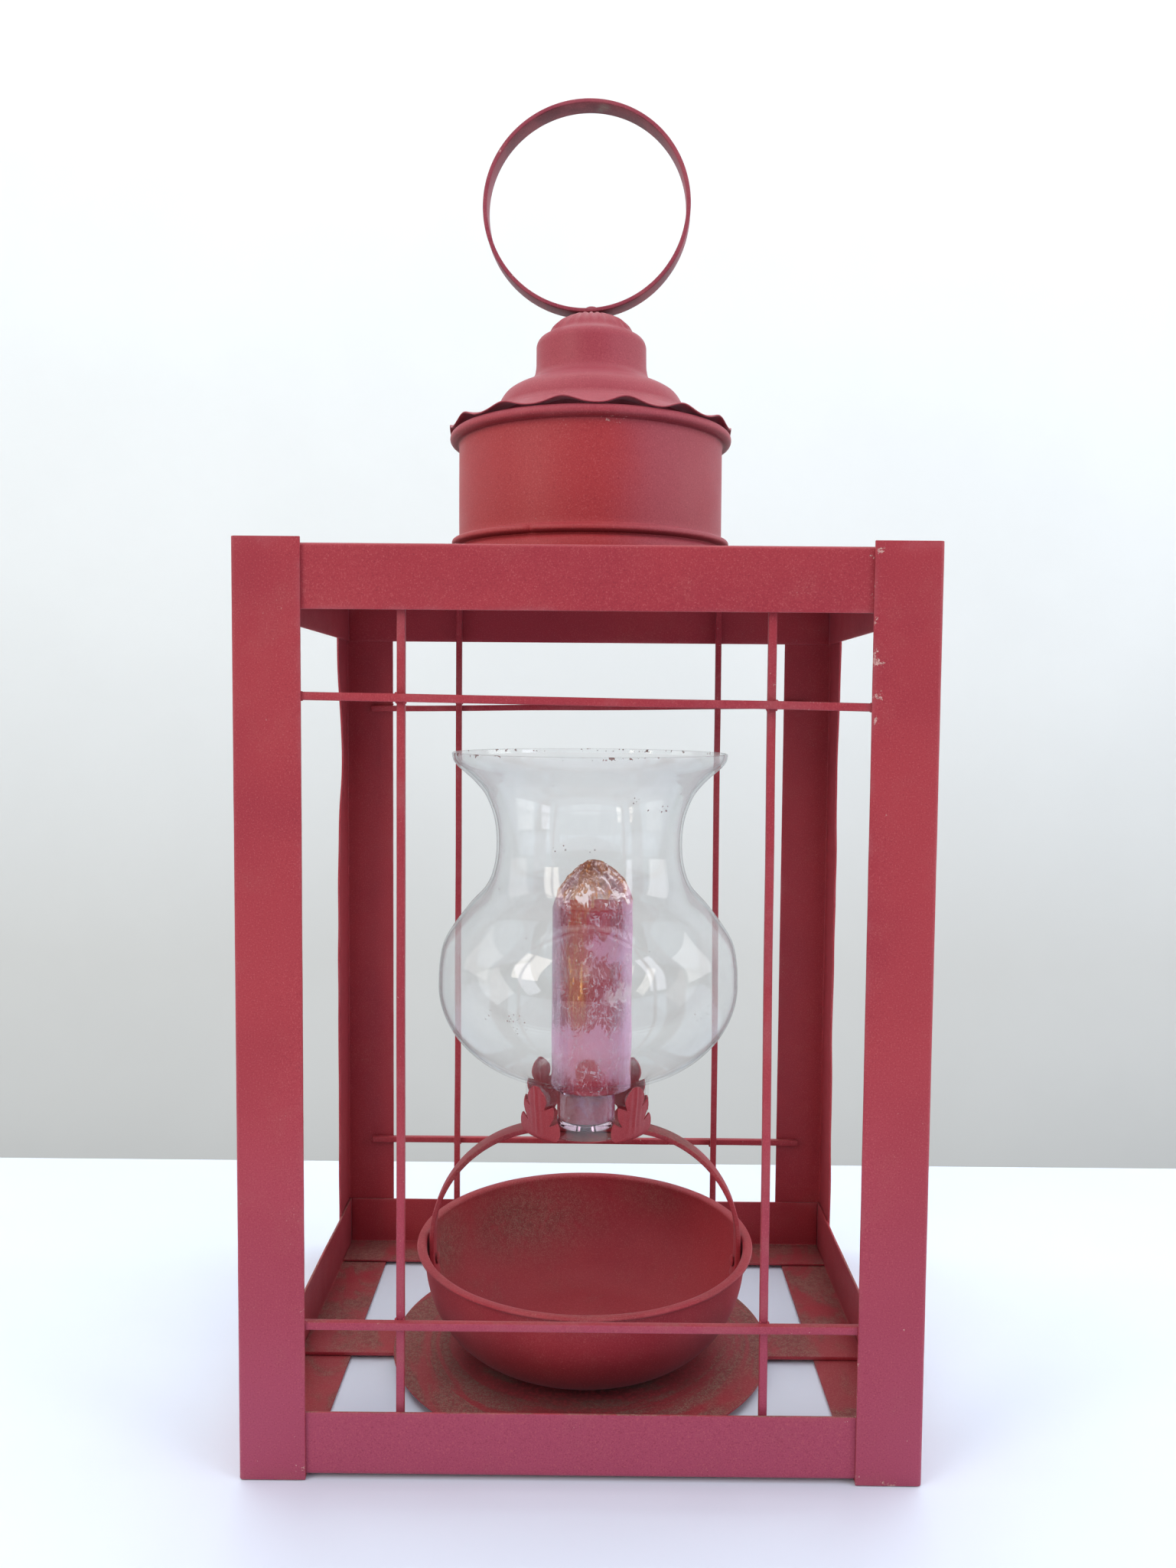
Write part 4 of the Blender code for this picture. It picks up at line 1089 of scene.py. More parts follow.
def drum():
    foot_inner, inner = FOOT_R - DRUM_T, DRUM_R - DRUM_T
    low_under, low_over, top_under = LOW_Z - LOW_ROLL, LOW_Z + LOW_ROLL, TOP_Z - TOP_ROLL
    profile = [(foot_inner, DRUM_BOTTOM), (FOOT_R - 0.1, DRUM_BOTTOM)]
    profile += through(((FOOT_R, DRUM_BOTTOM + 0.4), (FOOT_R - 0.15, DRUM_BOTTOM + 3.0),
                        (FOOT_R - 0.7, DRUM_BOTTOM + 6.2), (FOOT_R - 1.9, DRUM_BOTTOM + 9.0),
                        (DRUM_R + 0.35, low_under - 1.4), (DRUM_R + 0.1, low_under - 0.6)), 4)
    profile += [(DRUM_R + 0.7, low_under)]
    profile += arc(LOW_R - LOW_ROLL, LOW_Z, LOW_ROLL, -75, 75, 12)
    profile += [(DRUM_R + 1.0, low_over + 0.1), (DRUM_R + 0.25, low_over + 0.6)]
    profile += straight((DRUM_R, low_over + 1.3), (DRUM_R, top_under - 1.2), 22)
    profile += [(DRUM_R + 0.1, top_under - 0.5), (DRUM_R + 0.5, top_under)]
    profile += arc(TOP_R - TOP_ROLL, TOP_Z, TOP_ROLL, -110, 185, 22)
    profile += [(inner, TOP_Z - 1.2)]
    profile += straight((inner, TOP_Z - 6), (inner, LOW_Z - 4.2), 10)
    profile += [(inner + 0.2, LOW_Z - 4.8), (foot_inner - 1.3, DRUM_BOTTOM + 6.0),
                (foot_inner - 0.2, DRUM_BOTTOM + 2.5)]
    verts, faces = lathe(profile, 260, VENT, drum_shape)
    exposed = np.clip((radius_from(VENT, verts) - DRUM_R - 1.5) / 2.5, 0, 1)
    return verts, faces, exposed * 0.45 * (verts[:, 2] > 426)


painted("seamed_drum", drum(), vent_paint, "vent_drum")

# =============================================================================
# vent cap
# =============================================================================
CAP_APEX = box_mm("vent_cap")[1][2]
CAP_T = 0.8
CAP_HOLE_R = 2.1
WAVES, WAVE_PHASE, WAVE_HEIGHT = 15, math.radians(-76.8), 1.55
SKIRT_R, SKIRT_Z = 50.5, 496.8          # where the wavy skirt begins
CAP_EDGE_R, CAP_EDGE_Z = 73.0, 488.7
DOME_R, DOME_H = 22.0, 12.4
DOME_STEPS = 22
# (r, z) from under the shoulder out to the skirt
CAP_FLARE = ((28.7, 521.0), (29.9, 516.4), (33.6, 512.9), (36.6, 511.5), (40.4, 509.8),
             (43.9, 507.6), (46.2, 504.9), (47.9, 501.8), (48.9, 499.4))


def cap_shape(radius, z, turn):
    grow = np.clip((radius - SKIRT_R) / (CAP_EDGE_R - SKIRT_R), 0, 1.05)
    grow = grow * grow * (3 - 2 * grow) * 0.35 + grow * 0.65
    phase = turn - WAVE_PHASE
    wave = np.cos(WAVES * phase + 0.16 * np.sin(2 * turn + 1.0))
    wave = wave + 0.10 * np.cos(2 * WAVES * phase)
    z = z + WAVE_HEIGHT * (1 + 0.10 * np.sin(4 * turn + 0.4)) * grow * wave
    # radial flutes run down the dome and fade out over its foot
    lean = np.arcsin(np.clip(radius / (DOME_R + 1.5), 0, 0.995))
    fade = np.clip((24.6 - radius) / 5.0, 0, 1) * (z > 531.0)
    on_dome = np.clip((lean - 0.22) / 0.30, 0, 1) * fade * fade * (3 - 2 * fade)
    flute = 0.36 * on_dome * np.cos(24 * turn + 0.3)
    radius, z = radius + flute * np.sin(lean), z + flute * np.cos(lean)
    # a fine raised line round the flare
    z = z + 0.35 * np.exp(-((radius - 34.6) / 0.55) ** 2) * (z > 505)
    return radius + 0.10 * np.sin(5 * turn + 0.1 * z), z


def cap():
    outside = [(CAP_HOLE_R, CAP_APEX)]
    for i in range(1, DOME_STEPS + 1):
        lean = math.radians(82 * i / DOME_STEPS)
        outside.append((DOME_R * math.sin(lean), CAP_APEX - DOME_H * (1 - math.cos(lean))))
    # a soft crease where the dome meets the shoulder
    outside += arc(22.5, 531.4, 6.0, 72, 0, 12)
    outside += straight((28.5, 530.0), (28.6, 521.8), 8)
    outside += through(CAP_FLARE, 5)
    for i in range(30):
        t = i / 29
        outside.append((SKIRT_R + (CAP_EDGE_R - 0.35 - SKIRT_R) * t,
                        CAP_EDGE_Z + (SKIRT_Z - CAP_EDGE_Z) * (1 - t) ** 1.75))
    outside = eased(outside, 15, 34, passes=3)
    left = line_normals(outside)[1]
    # directions into the sheet; upright stretches go straight in
    inward = np.where((left[:, 1] > 0)[:, None], -left, left)
    inward = np.where((np.abs(left[:, 1]) < 0.02)[:, None], (-1.0, 0.0), inward)
    inside = outside + inward * CAP_T
    inside[0] = (CAP_HOLE_R, CAP_APEX - CAP_T)
    half = CAP_T / 2
    middle = outside[-1] + inward[-1] * half
    edge = [(middle[0] + half * math.sin(turn), middle[1] + half * math.cos(turn))
            for turn in (0.5, 1.05, 1.57, 2.1, 2.65)]
    verts, faces = lathe([*outside, *edge, *inside[::-1]], 420, VENT, cap_shape)
    wear = np.clip(radius_from(VENT, verts) - 72.0, 0, 1) * 0.9
    verts[:, 2] = np.minimum(verts[:, 2], CAP_APEX)
    return verts, faces, wear


painted("fluted_cap", cap(), vent_paint, "vent_cap", angle=60)

# =============================================================================
# hanging ring, and rivets
# =============================================================================
# the ring's coat is dulled to a pinker red as painted sheen, and its downward faces get painted
# shade
ring_paint = paint("ring_paint", dust=0.12, chips=0.6, haze=0.06, under=0.80, painted_sheen=0.8,
                   grey_spots_and_painted_shadow=[((6.2, -2.0, 652.8), 5.0, (0.20, 0.17, 0.13)),
                               ((4.0, 2.0, 653.2), 3.5, (0.16, 0.15, 0.12))])
RING_R, RING_T, RING_W = 53.4, 2.2, 12.0
RING_BOTTOM = 549.3
RING_LEAN, RING_YAW = math.radians(-3.0), math.radians(-2.6)
RING_SEGMENTS = 220


def hanging_ring():
    section = round_square(RING_T, RING_W, 0.65, 4)
    count = len(section)
    verts = []
    for i in range(RING_SEGMENTS):
        turn = 2 * math.pi * i / RING_SEGMENTS
        radius = RING_R - RING_T / 2 + section[:, 0] + 0.12 * math.sin(3 * turn + 1.0)
        y = section[:, 1] + 0.18 * math.sin(2 * turn + 0.4)
        verts.append(xyz(radius * math.sin(turn), y, RING_R - radius * math.cos(turn)))
    faces = []
    for i in range(RING_SEGMENTS):
        here, there = i * count, (i + 1) % RING_SEGMENTS * count
        for k in range(count):
            after = (k + 1) % count
            faces.append((here + k, here + after, there + after, there + k))
    pose = Matrix.Rotation(RING_YAW, 3, "Z") @ Matrix.Rotation(RING_LEAN, 3, "Y")
    verts = np.concatenate(verts) @ np.array(pose).T + (*VENT, RING_BOTTOM)
    verts[:, 2] = np.minimum(verts[:, 2], box_mm("hanging_ring")[1][2])
    wear = np.tile(edge_wear(section[:, 1], RING_W, band=0.9, amount=1.0), RING_SEGMENTS)
    return verts, faces, wear


painted("strip_ring", hanging_ring(), ring_paint, "hanging_ring", angle=50, body="ring")

AXIS = middle_xy("bowl")


def rivet(name, node, mat, head_r=3.4, shank_r=1.8, head_inset=1.5, side=0):
    """Low round head and peened tail on a shank. side is 0 for upright, -1 or 1 for a head
    that faces -x or +x."""
    low, high = box_mm(node)
    middle = (low + high) / 2
    inner, outer = low[2], high[2]
    if side:
        inner, outer = sorted((abs(low[0] - AXIS[0]), abs(high[0] - AXIS[0])))
    head, tail = outer - head_inset, inner + 1.2
    profile = [(0.0, head + 1.5)]
    for i in range(1, 7):
        lean = math.radians(90 * i / 6)
        profile.append((head_r * math.sin(lean), head + 1.425 * math.cos(lean) + 0.02))
    profile += [(head_r - 0.3, head), (shank_r, head), (shank_r, tail), (head_r - 0.4, tail),
                (head_r - 0.3, tail - 0.5), (head_r - 1.1, tail - 1.05), (0.0, tail - 1.2)]
    verts, faces = solid_lathe(profile, 28, (0, 0))
    if side:
        x, y, z = verts.T
        verts = xyz(AXIS[0] + side * z, middle[1] + y, middle[2] - side * x)
    else:
        verts = verts + (middle[0], middle[1], 0)
    painted(name, (verts, faces, 0.35), mat, node)


rivet("crown_rivet", "ring_rivet", ring_paint)

# =============================================================================
# base: cross strap, disc, bowl
# =============================================================================
# the two dark spots under the bowl are painted shadow
disc_paint = paint("base_disc_paint", dust=1.0, chips=0.6, mauve=0.0, swirl=(0.001, -0.0027),
                   grey_spots_and_painted_shadow=[((0.0, -12.0, 13.0), 88.0, (0.040, 0.015, 0.017)),
                               ((0.0, -20.0, 13.0), 84.0, (0.040, 0.015, 0.017))])
strap_paint = paint("cross_strap_paint", dust=0.85, chips=0.7, mauve=0.0)
# the bowl's downward faces get painted shade
bowl_paint = paint("bowl_paint", under=0.60, dust=0.24, chips=0.45, rough=0.56, mauve=0.0,
                   haze=0.16, dust_spots=[
                       ((-34.0, 66.0, 40.0), 54.0, (0.75, 1.0, 1.6), 0.95),
                       ((-78.0, 20.0, 44.0), 40.0, (1.1, 0.8, 1.4), 0.95),
                       ((40.0, 74.0, 52.0), 34.0, (0.8, 1.0, 1.8), 0.45),
                       ((0.0, -88.0, 61.0), 26.0, (0.5, 1.0, 1.6), 0.35)])
arch_paint = paint("arch_paint", dust=1.0, chips=0.6, mauve=0.0, haze=0.30, dust_spots=[
    ((-52.0, -8.0, 96.0), 34.0, (1, 1, 1), 0.75), ((50.0, -8.0, 100.0), 26.0, (1, 1, 1), 0.55)])


def cross_strap():
    low, high = box_mm("base_cross_strap")
    _, width, height = high - low
    _, y, z = (low + high) / 2
    corners = round_square(width, height, 0.45)
    # further points along its long faces, about 3.5 mm apart
    section = []
    for start, end in zip(corners, np.roll(corners, -1, 0)):
        section += straight(start, end, max(1, int(np.linalg.norm(end - start) / 3.5)))
    section = np.array(section)
    wear = edge_wear(section[:, 0], width, band=0.8, amount=1.0)
    return sweep(section, wear, np.linspace(low[0], high[0], 60),
                 lambda points, x: xyz(x, y + points[:, 0], z + points[:, 1]), ease=0.3)


painted("flat_cross_strap", cross_strap(), strap_paint, "base_cross_strap")


def plate_profile(node, hole, top_radii, bottom_radii):
    """A flat round plate with a hole and eased rim; the radii are of rows across its faces."""
    low, high = box_mm(node)
    bottom, top = low[2], high[2]
    corner = half_width(node) - 0.4
    return ([(hole, top)] + [(radius, top) for radius in top_radii]
            + arc(corner, top - 0.4, 0.4, 90, 0, 3) + arc(corner, bottom + 0.4, 0.4, 0, -90, 3)
            + [(radius, bottom) for radius in bottom_radii] + [(hole, bottom)])


def base_disc():
    rim = half_width("base_disc")
    profile = plate_profile("base_disc", hole=2.5, top_radii=np.linspace(6, rim - 1, 30),
                            bottom_radii=np.linspace(rim - 1, 6, 12))

    def shape(radius, z, turn):
        return radius - 0.25 * (1 + np.sin(2 * turn + 0.5)) * (radius > 90), z

    verts, faces = lathe(profile, 180, AXIS, shape)
    radius = radius_from(AXIS, verts)
    # the disc's rim sits a little to one side of the rivet it hangs on
    rim_shift = middle_xy("base_disc")[0] - AXIS[0]
    verts[:, 0] += rim_shift * np.clip((radius - 4.0) / (rim - 5.0), 0, 1)
    return verts, faces, np.clip(radius - rim + 1.0, 0, 1)


painted("round_base_disc", base_disc(), disc_paint, "base_disc")

BOWL_Z = box_mm("bowl")[0][2]
RIM_TOP = box_mm("bowl")[1][2]
BOWL_R, BOWL_FOOT_R, RIM_R = 85.9, 37.5, 89.9
BOWL_POWER = 2.3        # fullness of the wall's curve
BOWL_T = 1.0
BOWL_HOLE_R = 2.6
BOWL_STEPS = 44


def bowl_radius(z):
    t = (z - BOWL_Z) / (RIM_TOP - BOWL_Z)
    return BOWL_FOOT_R + (BOWL_R - BOWL_FOOT_R) * (1 - (1 - t) ** BOWL_POWER) ** (1 / BOWL_POWER)


def bowl_shape(radius, z, turn):
    high = np.clip((z - 40) / 20, 0, 1)
    radius = radius - high * (0.12 + 0.12 * np.sin(3 * turn + 0.9))
    radius = radius - 0.05 * np.sin(17 * turn) * high
    return radius, z + 0.10 * np.sin(2 * turn + 0.3) * high * (z < RIM_TOP - 0.15)


def bowl():
    outside = [(radius, BOWL_Z) for radius in np.linspace(BOWL_HOLE_R, BOWL_FOOT_R - 0.8, 12)]
    for i in range(1, BOWL_STEPS + 1):
        z = BOWL_Z + (RIM_TOP - 2.2 - BOWL_Z) * (i / BOWL_STEPS) ** 2.1
        outside.append((bowl_radius(z), z))
    inside = np.array(outside) + line_normals(outside)[1] * BOWL_T
    inside[0] = (BOWL_HOLE_R, BOWL_Z + BOWL_T)
    # the wall turns out to a narrow flange with a full edge
    rim = [(BOWL_R + 0.9, RIM_TOP - 1.9), (RIM_R - 1.6, RIM_TOP - 1.95)]
    rim += arc(RIM_R - 1.0, RIM_TOP - 1.0, 0.98, -85, 95, 10)
    rim += [(BOWL_R + 1.3, RIM_TOP - 0.02), (BOWL_R + 0.2, RIM_TOP - 0.12),
            (BOWL_R - 0.6, RIM_TOP - 0.5), (BOWL_R - 1.1, RIM_TOP - 1.2)]
    verts, faces = lathe([*outside, *rim, *inside[::-1]], 240, AXIS, bowl_shape)
    return verts, faces, np.clip((radius_from(AXIS, verts) - BOWL_R - 2.4) / 1.2, 0, 1) * 0.7


painted("pressed_bowl", bowl(), bowl_paint, "bowl", angle=50)
rivet("bowl_rivet", "base_rivet", bowl_paint, head_r=4.0, shank_r=2.2)

# =============================================================================
# arch over the bowl
# =============================================================================
ARCH_TOP = box_mm("holder_strap")[1][2]
ARCH_W, ARCH_T = 12.7, 2.5
ARCH_CROWN, ARCH_HALF = 19.0, 84.0      # half length of the level crown, half span
ARCH_BEND = ARCH_HALF - ARCH_CROWN
ARCH_FOOT_Z = (52.5, 50.5, 48.0, 45.0, 42.0, 39.5, 38.3)


def arch():
    half = [(ARCH_CROWN * i / 6, ARCH_TOP) for i in range(6)]
    half += arc(ARCH_CROWN, ARCH_TOP - ARCH_BEND, ARCH_BEND, 90, 7, 34)
    half += [(bowl_radius(z) - BOWL_T - 0.95, z) for z in ARCH_FOOT_Z]
    top_line = [(-x, z) for x, z in half[::-1]] + half[1:]
    top_line = eased(top_line, 1, len(top_line) - 1, passes=2)
    top_line[:, 1] = np.minimum(top_line[:, 1], ARCH_TOP)
    # the line runs from -x to +x, so its left is up
    down = -line_normals(top_line)[1]
    middle = top_line + down * ARCH_T / 2
    section = round_square(ARCH_W, ARCH_T, 0.55)
    last = len(middle) - 1
    insets = {0: (0.35, 0.1, 0.0), last: (0.0, 0.1, 0.35)}
    rings = []
    for i in range(last + 1):
        for inset in insets.get(i, (0.0,)):
            offset = section[:, 1] * (1 - inset / (ARCH_T / 2))
            rings.append(xyz(AXIS[0] + middle[i][0] + down[i][0] * offset,
                             AXIS[1] + section[:, 0] * (1 - inset / 6.3),
                             middle[i][1] + down[i][1] * offset))
    wear = np.tile(edge_wear(section[:, 0], ARCH_W, band=0.9, amount=0.8), len(rings))
    return np.concatenate(rings), tube_faces(len(rings), len(section)), wear


def leaf_hub():
    rim = half_width("leaf_hub")
    profile = plate_profile("leaf_hub", hole=2.1, top_radii=np.linspace(5, rim - 1, 6),
                            bottom_radii=(5,))
    return *lathe(profile, 96, AXIS), 0.0


painted("bent_arch", arch(), arch_paint, "holder_strap", angle=50)
for side_name, side in (("left", -1), ("right", 1)):
    rivet(f"arch_rivet_{side_name}", f"strap_rivet_{side_name}", bowl_paint, side=side)
rivet("leaf_hub_rivet", "hub_rivet", arch_paint, head_inset=1.4)
painted("leaf_hub_plate", leaf_hub(), arch_paint, "leaf_hub")

# =============================================================================
# leaves: lobed sheets curled round the globe's neck
# =============================================================================
leaf_paint = paint("leaf_paint", dust=0.15, chips=0.8, rough=0.42, mauve=0.35, haze=0.06)
HUB_Z = box_mm("leaf_hub")[0][2]
LEAF_HALF_T = 0.42
LEAF_COLUMNS = 33
# radius, height over the hub, half width, how far the row turns up at its sides
LEAF_ROWS = (
    (20.2, 0.6, 4.0, 0.0), (22.5, 1.3, 4.1, 0.0), (25.5, 2.5, 4.3, 0.0), (28.5, 3.2, 4.8, 0.0),
    (31.5, 3.6, 6.0, 0.0), (33.7, 4.3, 8.6, 0.0), (34.5, 5.5, 11.8, -0.3),
    (34.6, 6.4, 13.6, -0.2), (34.7, 7.6, 14.8, 0.3), (34.8, 8.8, 15.2, 1.2),
    (34.9, 9.8, 15.0, 2.3), (34.95, 10.6, 14.4, 3.3), (35.0, 11.2, 13.4, 4.0),
    (35.0, 11.4, 8.3, 0.9), (35.1, 12.2, 8.1, 0.5), (35.2, 13.8, 9.2, 0.5),
    (35.3, 15.6, 10.6, 0.9), (35.5, 17.2, 11.3, 1.5), (35.6, 18.6, 11.4, 2.4),
    (35.7, 19.7, 10.9, 3.4), (35.75, 20.0, 5.6, 0.6), (35.9, 21.2, 5.5, 0.4),
    (36.1, 23.0, 6.4, 0.2), (36.3, 25.2, 6.9, 0.1), (36.5, 27.4, 6.4, 0.0),
    (36.6, 29.4, 5.2, -0.2), (36.65, 30.9, 3.9, -0.4), (36.7, 32.0, 2.5, -0.4),
    (36.7, 32.6, 1.3, -0.2),
)


def leaf_rows():
    """The table with rows added between, except at the lobes' sudden steps."""
    rows = []
    for row, following in zip(LEAF_ROWS, LEAF_ROWS[1:]):
        rows += straight(row, following, 3 if abs(row[2] - following[2]) < 3 else 1)
    return rows + [LEAF_ROWS[-1]]


def blade_relief(across, rise):
    """Veins and flutes run up the blade; side lobes curl away from the glass."""
    up = (rise - 5.0) / 26.0        # 0 at the arm, 1 at the tip
    flute = 0.13 * np.cos(across * 2 * math.pi / 3.9) * np.clip(1 - np.abs(across) / 12, 0.1, 1)
    curl = np.clip((np.abs(across) - 7.0) / 7.0, 0, 1.2) ** 1.6 * (1.1 if rise < 13 else 0.9)
    rib = 0.28 * np.exp(-(across / 0.8) ** 2)
    return flute * min(1, up * 6) + curl + rib * min(1, up * 4)


def leaf(node, azimuth, seed):
    share = np.linspace(-1, 1, LEAF_COLUMNS)
    outer, inner = [], []
    rows = leaf_rows()
    for row_radius, rise, half, turn_up in rows:
        across = share * half
        radius = np.full(LEAF_COLUMNS, row_radius)
        if rise > 5.0:
            radius = radius + blade_relief(across, rise)
        radius = radius + 0.15 * sway(seed * 3.3, rise * 0.2, 1.0)
        z = HUB_Z + rise + turn_up * np.abs(share) ** 2.2
        angle = azimuth + across / np.maximum(radius, 1)
        # the two skins lie square to the sheet: level at the arm, upright on the blade
        out, down = (0.0, 1.0) if rise < 4.0 else (0.7, 0.7) if rise < 6.0 else (1.0, 0.0)
        for skin, offset in ((outer, LEAF_HALF_T), (inner, -LEAF_HALF_T)):
            skin_radius = radius + offset * out
            skin.append(xyz(AXIS[0] + skin_radius * np.cos(angle),
                            AXIS[1] + skin_radius * np.sin(angle), z - offset * down))
    verts = np.concatenate(outer + inner)
    count, columns = len(rows), LEAF_COLUMNS
    base = count * columns
    faces = []
    for start in range(0, base - columns, columns):
        for j in range(start, start + columns - 1):
            above = j + columns
            faces.append((j, j + 1, above + 1, above))
            faces.append((base + j + 1, base + j, base + above, base + above + 1))
    rim = [k * columns for k in range(count)]
    rim += [base - columns + j for j in range(1, columns)]
    rim += [k * columns + columns - 1 for k in range(count - 2, -1, -1)]
    rim += list(range(columns - 2, 0, -1))
    for here, there in zip(rim, rim[1:] + rim[:1]):
        faces.append((here, base + here, base + there, there))
    wear = np.zeros(len(verts))
    wear[rim] = 0.9
    wear[[base + k for k in rim]] = 0.9
    piece = (verts, faces, wear)
    obj = painted(node.replace("leaf", "oak_leaf"), piece, leaf_paint, node, angle=50)
    bevel = obj.modifiers.new("edge", "BEVEL")
    bevel.width = 0.22 * MM
    bevel.segments = 2
    bevel.limit_method = "ANGLE"
    bevel.angle_limit = math.radians(60)


LEAVES = {"leaf_front_left": 225, "leaf_front_right": 315, "leaf_rear_left": 135,
          "leaf_rear_right": 45}
for seed, (node, degrees) in enumerate(LEAVES.items(), 1):
    leaf(node, math.radians(degrees), seed)

# =============================================================================
# hurricane globe
# =============================================================================
GLOBE = middle_xy("hurricane_globe")
GLOBE_BOTTOM = box_mm("hurricane_globe")[0][2]
GLOBE_TOP = box_mm("hurricane_globe")[1][2]
GLOBE_T = 1.5
GLOBE_THINNING = 0.6    # how much thinner the blown bulb's wall is
NECK_R, BULB_R = 33.0, 79.25
BULB_BOTTOM, BULB_RISE = 152.1, 47.7
BULB_STEPS = 40
# (r, z) from the widest place up to the lip
GLOBE_UPPER = (
    (BULB_R, BULB_BOTTOM + BULB_RISE), (78.6, 212.4), (75.4, 224.6), (64.2, 240.6),
    (54.2, 252.0), (50.0, 263.5), (49.0, 276.0), (50.3, 288.0), (54.4, 299.2), (59.6, 306.2),
    (65.0, 311.4), (69.4, 315.3), (71.7, 318.6), (72.3, 321.6))


def globe_shape(radius, z, turn):
    oval = 0.10 * np.sin(2 * turn + 0.6) * np.clip((z - 160) / 40, 0, 1)
    return radius + oval + 0.05 * np.sin(5 * turn + z * 0.03), z


def wall_end(outer, inner, side, up, lift, start, steps):
    """Half-round end of a wall, from its outer face to its inner one or back."""
    middle = (outer + inner) / 2
    half = np.linalg.norm(outer - inner) / 2
    return [middle + half * (side * math.cos(turn) + up * lift * math.sin(turn))
            for turn in np.linspace(start, math.pi - start, steps)]


def globe():
    outside = [(NECK_R - 0.4, GLOBE_BOTTOM + 0.9)]
    outside += straight((NECK_R - 0.3, GLOBE_BOTTOM + 2), (NECK_R, BULB_BOTTOM - 1.2), 12)
    for i in range(1, BULB_STEPS):
        lean = math.radians(90 * i / BULB_STEPS)
        outside.append((NECK_R + (BULB_R - NECK_R) * math.sin(lean) ** 1.07,
                        BULB_BOTTOM + BULB_RISE * (1 - math.cos(lean)) ** 0.915))
    outside += through(GLOBE_UPPER, 6)
    # the fillet between neck and bulb
    outside = eased(outside, 10, 20, passes=2)
    along, left = line_normals(outside)
    blown = np.clip((outside[:, 0] - 40.0) / 25.0, 0, 1) * (outside[:, 1] < 300)
    inside = outside + left * (GLOBE_T - GLOBE_THINNING * blown)[:, None]
    outward = (outside[-1] - inside[-1]) / np.linalg.norm(outside[-1] - inside[-1])
    lip = wall_end(outside[-1], inside[-1], outward, along[-1], 0.95, start=0.3, steps=8)
    foot = wall_end(outside[0], inside[0], np.array([-1.0, 0.0]), np.array([0.0, -1.0]), 0.85,
                    start=0.35, steps=7)
    verts, faces = lathe([*outside, *lip, *inside[::-1], *foot], 220, GLOBE, globe_shape)
    verts[:, 2] = np.clip(verts[:, 2], GLOBE_BOTTOM, GLOBE_TOP)
    return verts, faces


globe_glass = glass("clear_glass_globe", tint=(0.988, 0.990, 0.990), thin=True)
make_piece("blown_globe", *globe(), globe_glass, "globe", "hurricane_globe", GLASS_SLOT, 180)

# =============================================================================
# stand, and the wax in its well
# =============================================================================
STAND_R = half_width("glass_candle_stand")
STAND_BOTTOM = box_mm("glass_candle_stand")[0][2]
STAND_TOP = box_mm("glass_candle_stand")[1][2]
WELL_R = 11.6
WELL_WAX_R = 11.75


def candle_stand():
    bottom, top = STAND_BOTTOM, STAND_TOP
    profile = [(3.8, bottom + 0.4), (5.0, bottom), (STAND_R - 2.2, bottom)]
    profile += arc(STAND_R - 1.2, bottom + 1.2, 1.2, 270, 360, 6)
    profile += straight((STAND_R, bottom + 2), (STAND_R, top - 1.2), 8)
    profile += arc(STAND_R - 0.9, top - 0.9, 0.9, 0, 90, 5)
    profile += arc(WELL_R + 0.9, top - 0.9, 0.9, 90, 180, 5)
    profile += straight((WELL_R, top - 2), (WELL_R, bottom + 4.2), 8)
    profile += arc(WELL_R - 2.0, bottom + 4.2, 2.0, 0, -90, 5)
    profile += [(6.0, bottom + 2.1), (3.8, bottom + 2.0)]
    return lathe(profile, 120, AXIS)


def well_wax():
    bottom, top = STAND_BOTTOM + 2.2, STAND_TOP - 1.0
    profile = [(0.0, bottom + 0.3), (8.5, bottom + 0.4)]
    profile += arc(WELL_WAX_R - 2.0, bottom + 2.2, 2.0, 270, 360, 5)
    profile += straight((WELL_WAX_R, bottom + 3), (WELL_WAX_R, top - 0.6), 8)
    profile += [(11.1, top - 0.15), (9.5, top - 0.6), (5.0, top - 1.1), (0.0, top - 1.2)]

    def shape(radius, z, turn):
        tilt = 0.25 * np.sin(2 * turn + 1) * (z > top - 1.3) * np.clip(radius / 9, 0, 1)
        return radius - 0.02 * (1 + np.sin(3 * turn + z)) * (radius > 10), z + tilt

    return solid_lathe(profile, 96, AXIS, shape)


stand_glass = glass("clear_glass_stand", tint=(0.93, 0.86, 0.90))
make_piece("candle_stand_glass", *candle_stand(), stand_glass, "stand", "glass_candle_stand",
           GLASS_SLOT, 60)
make_piece("wax_left_in_stand", *well_wax(), tinted_wax("mauve_wax_residue"), "stand",
           slot="red_wax", angle=50)

# =============================================================================
# candle, wick, film
# =============================================================================
CANDLE = middle_xy("candle")
CANDLE_R = half_width("candle")
CANDLE_BOTTOM = box_mm("candle")[0][2]
CANDLE_TOP = box_mm("candle")[1][2]
WICK_R = 0.80
WICK_LEVELS, WICK_POINTS = 46, 16


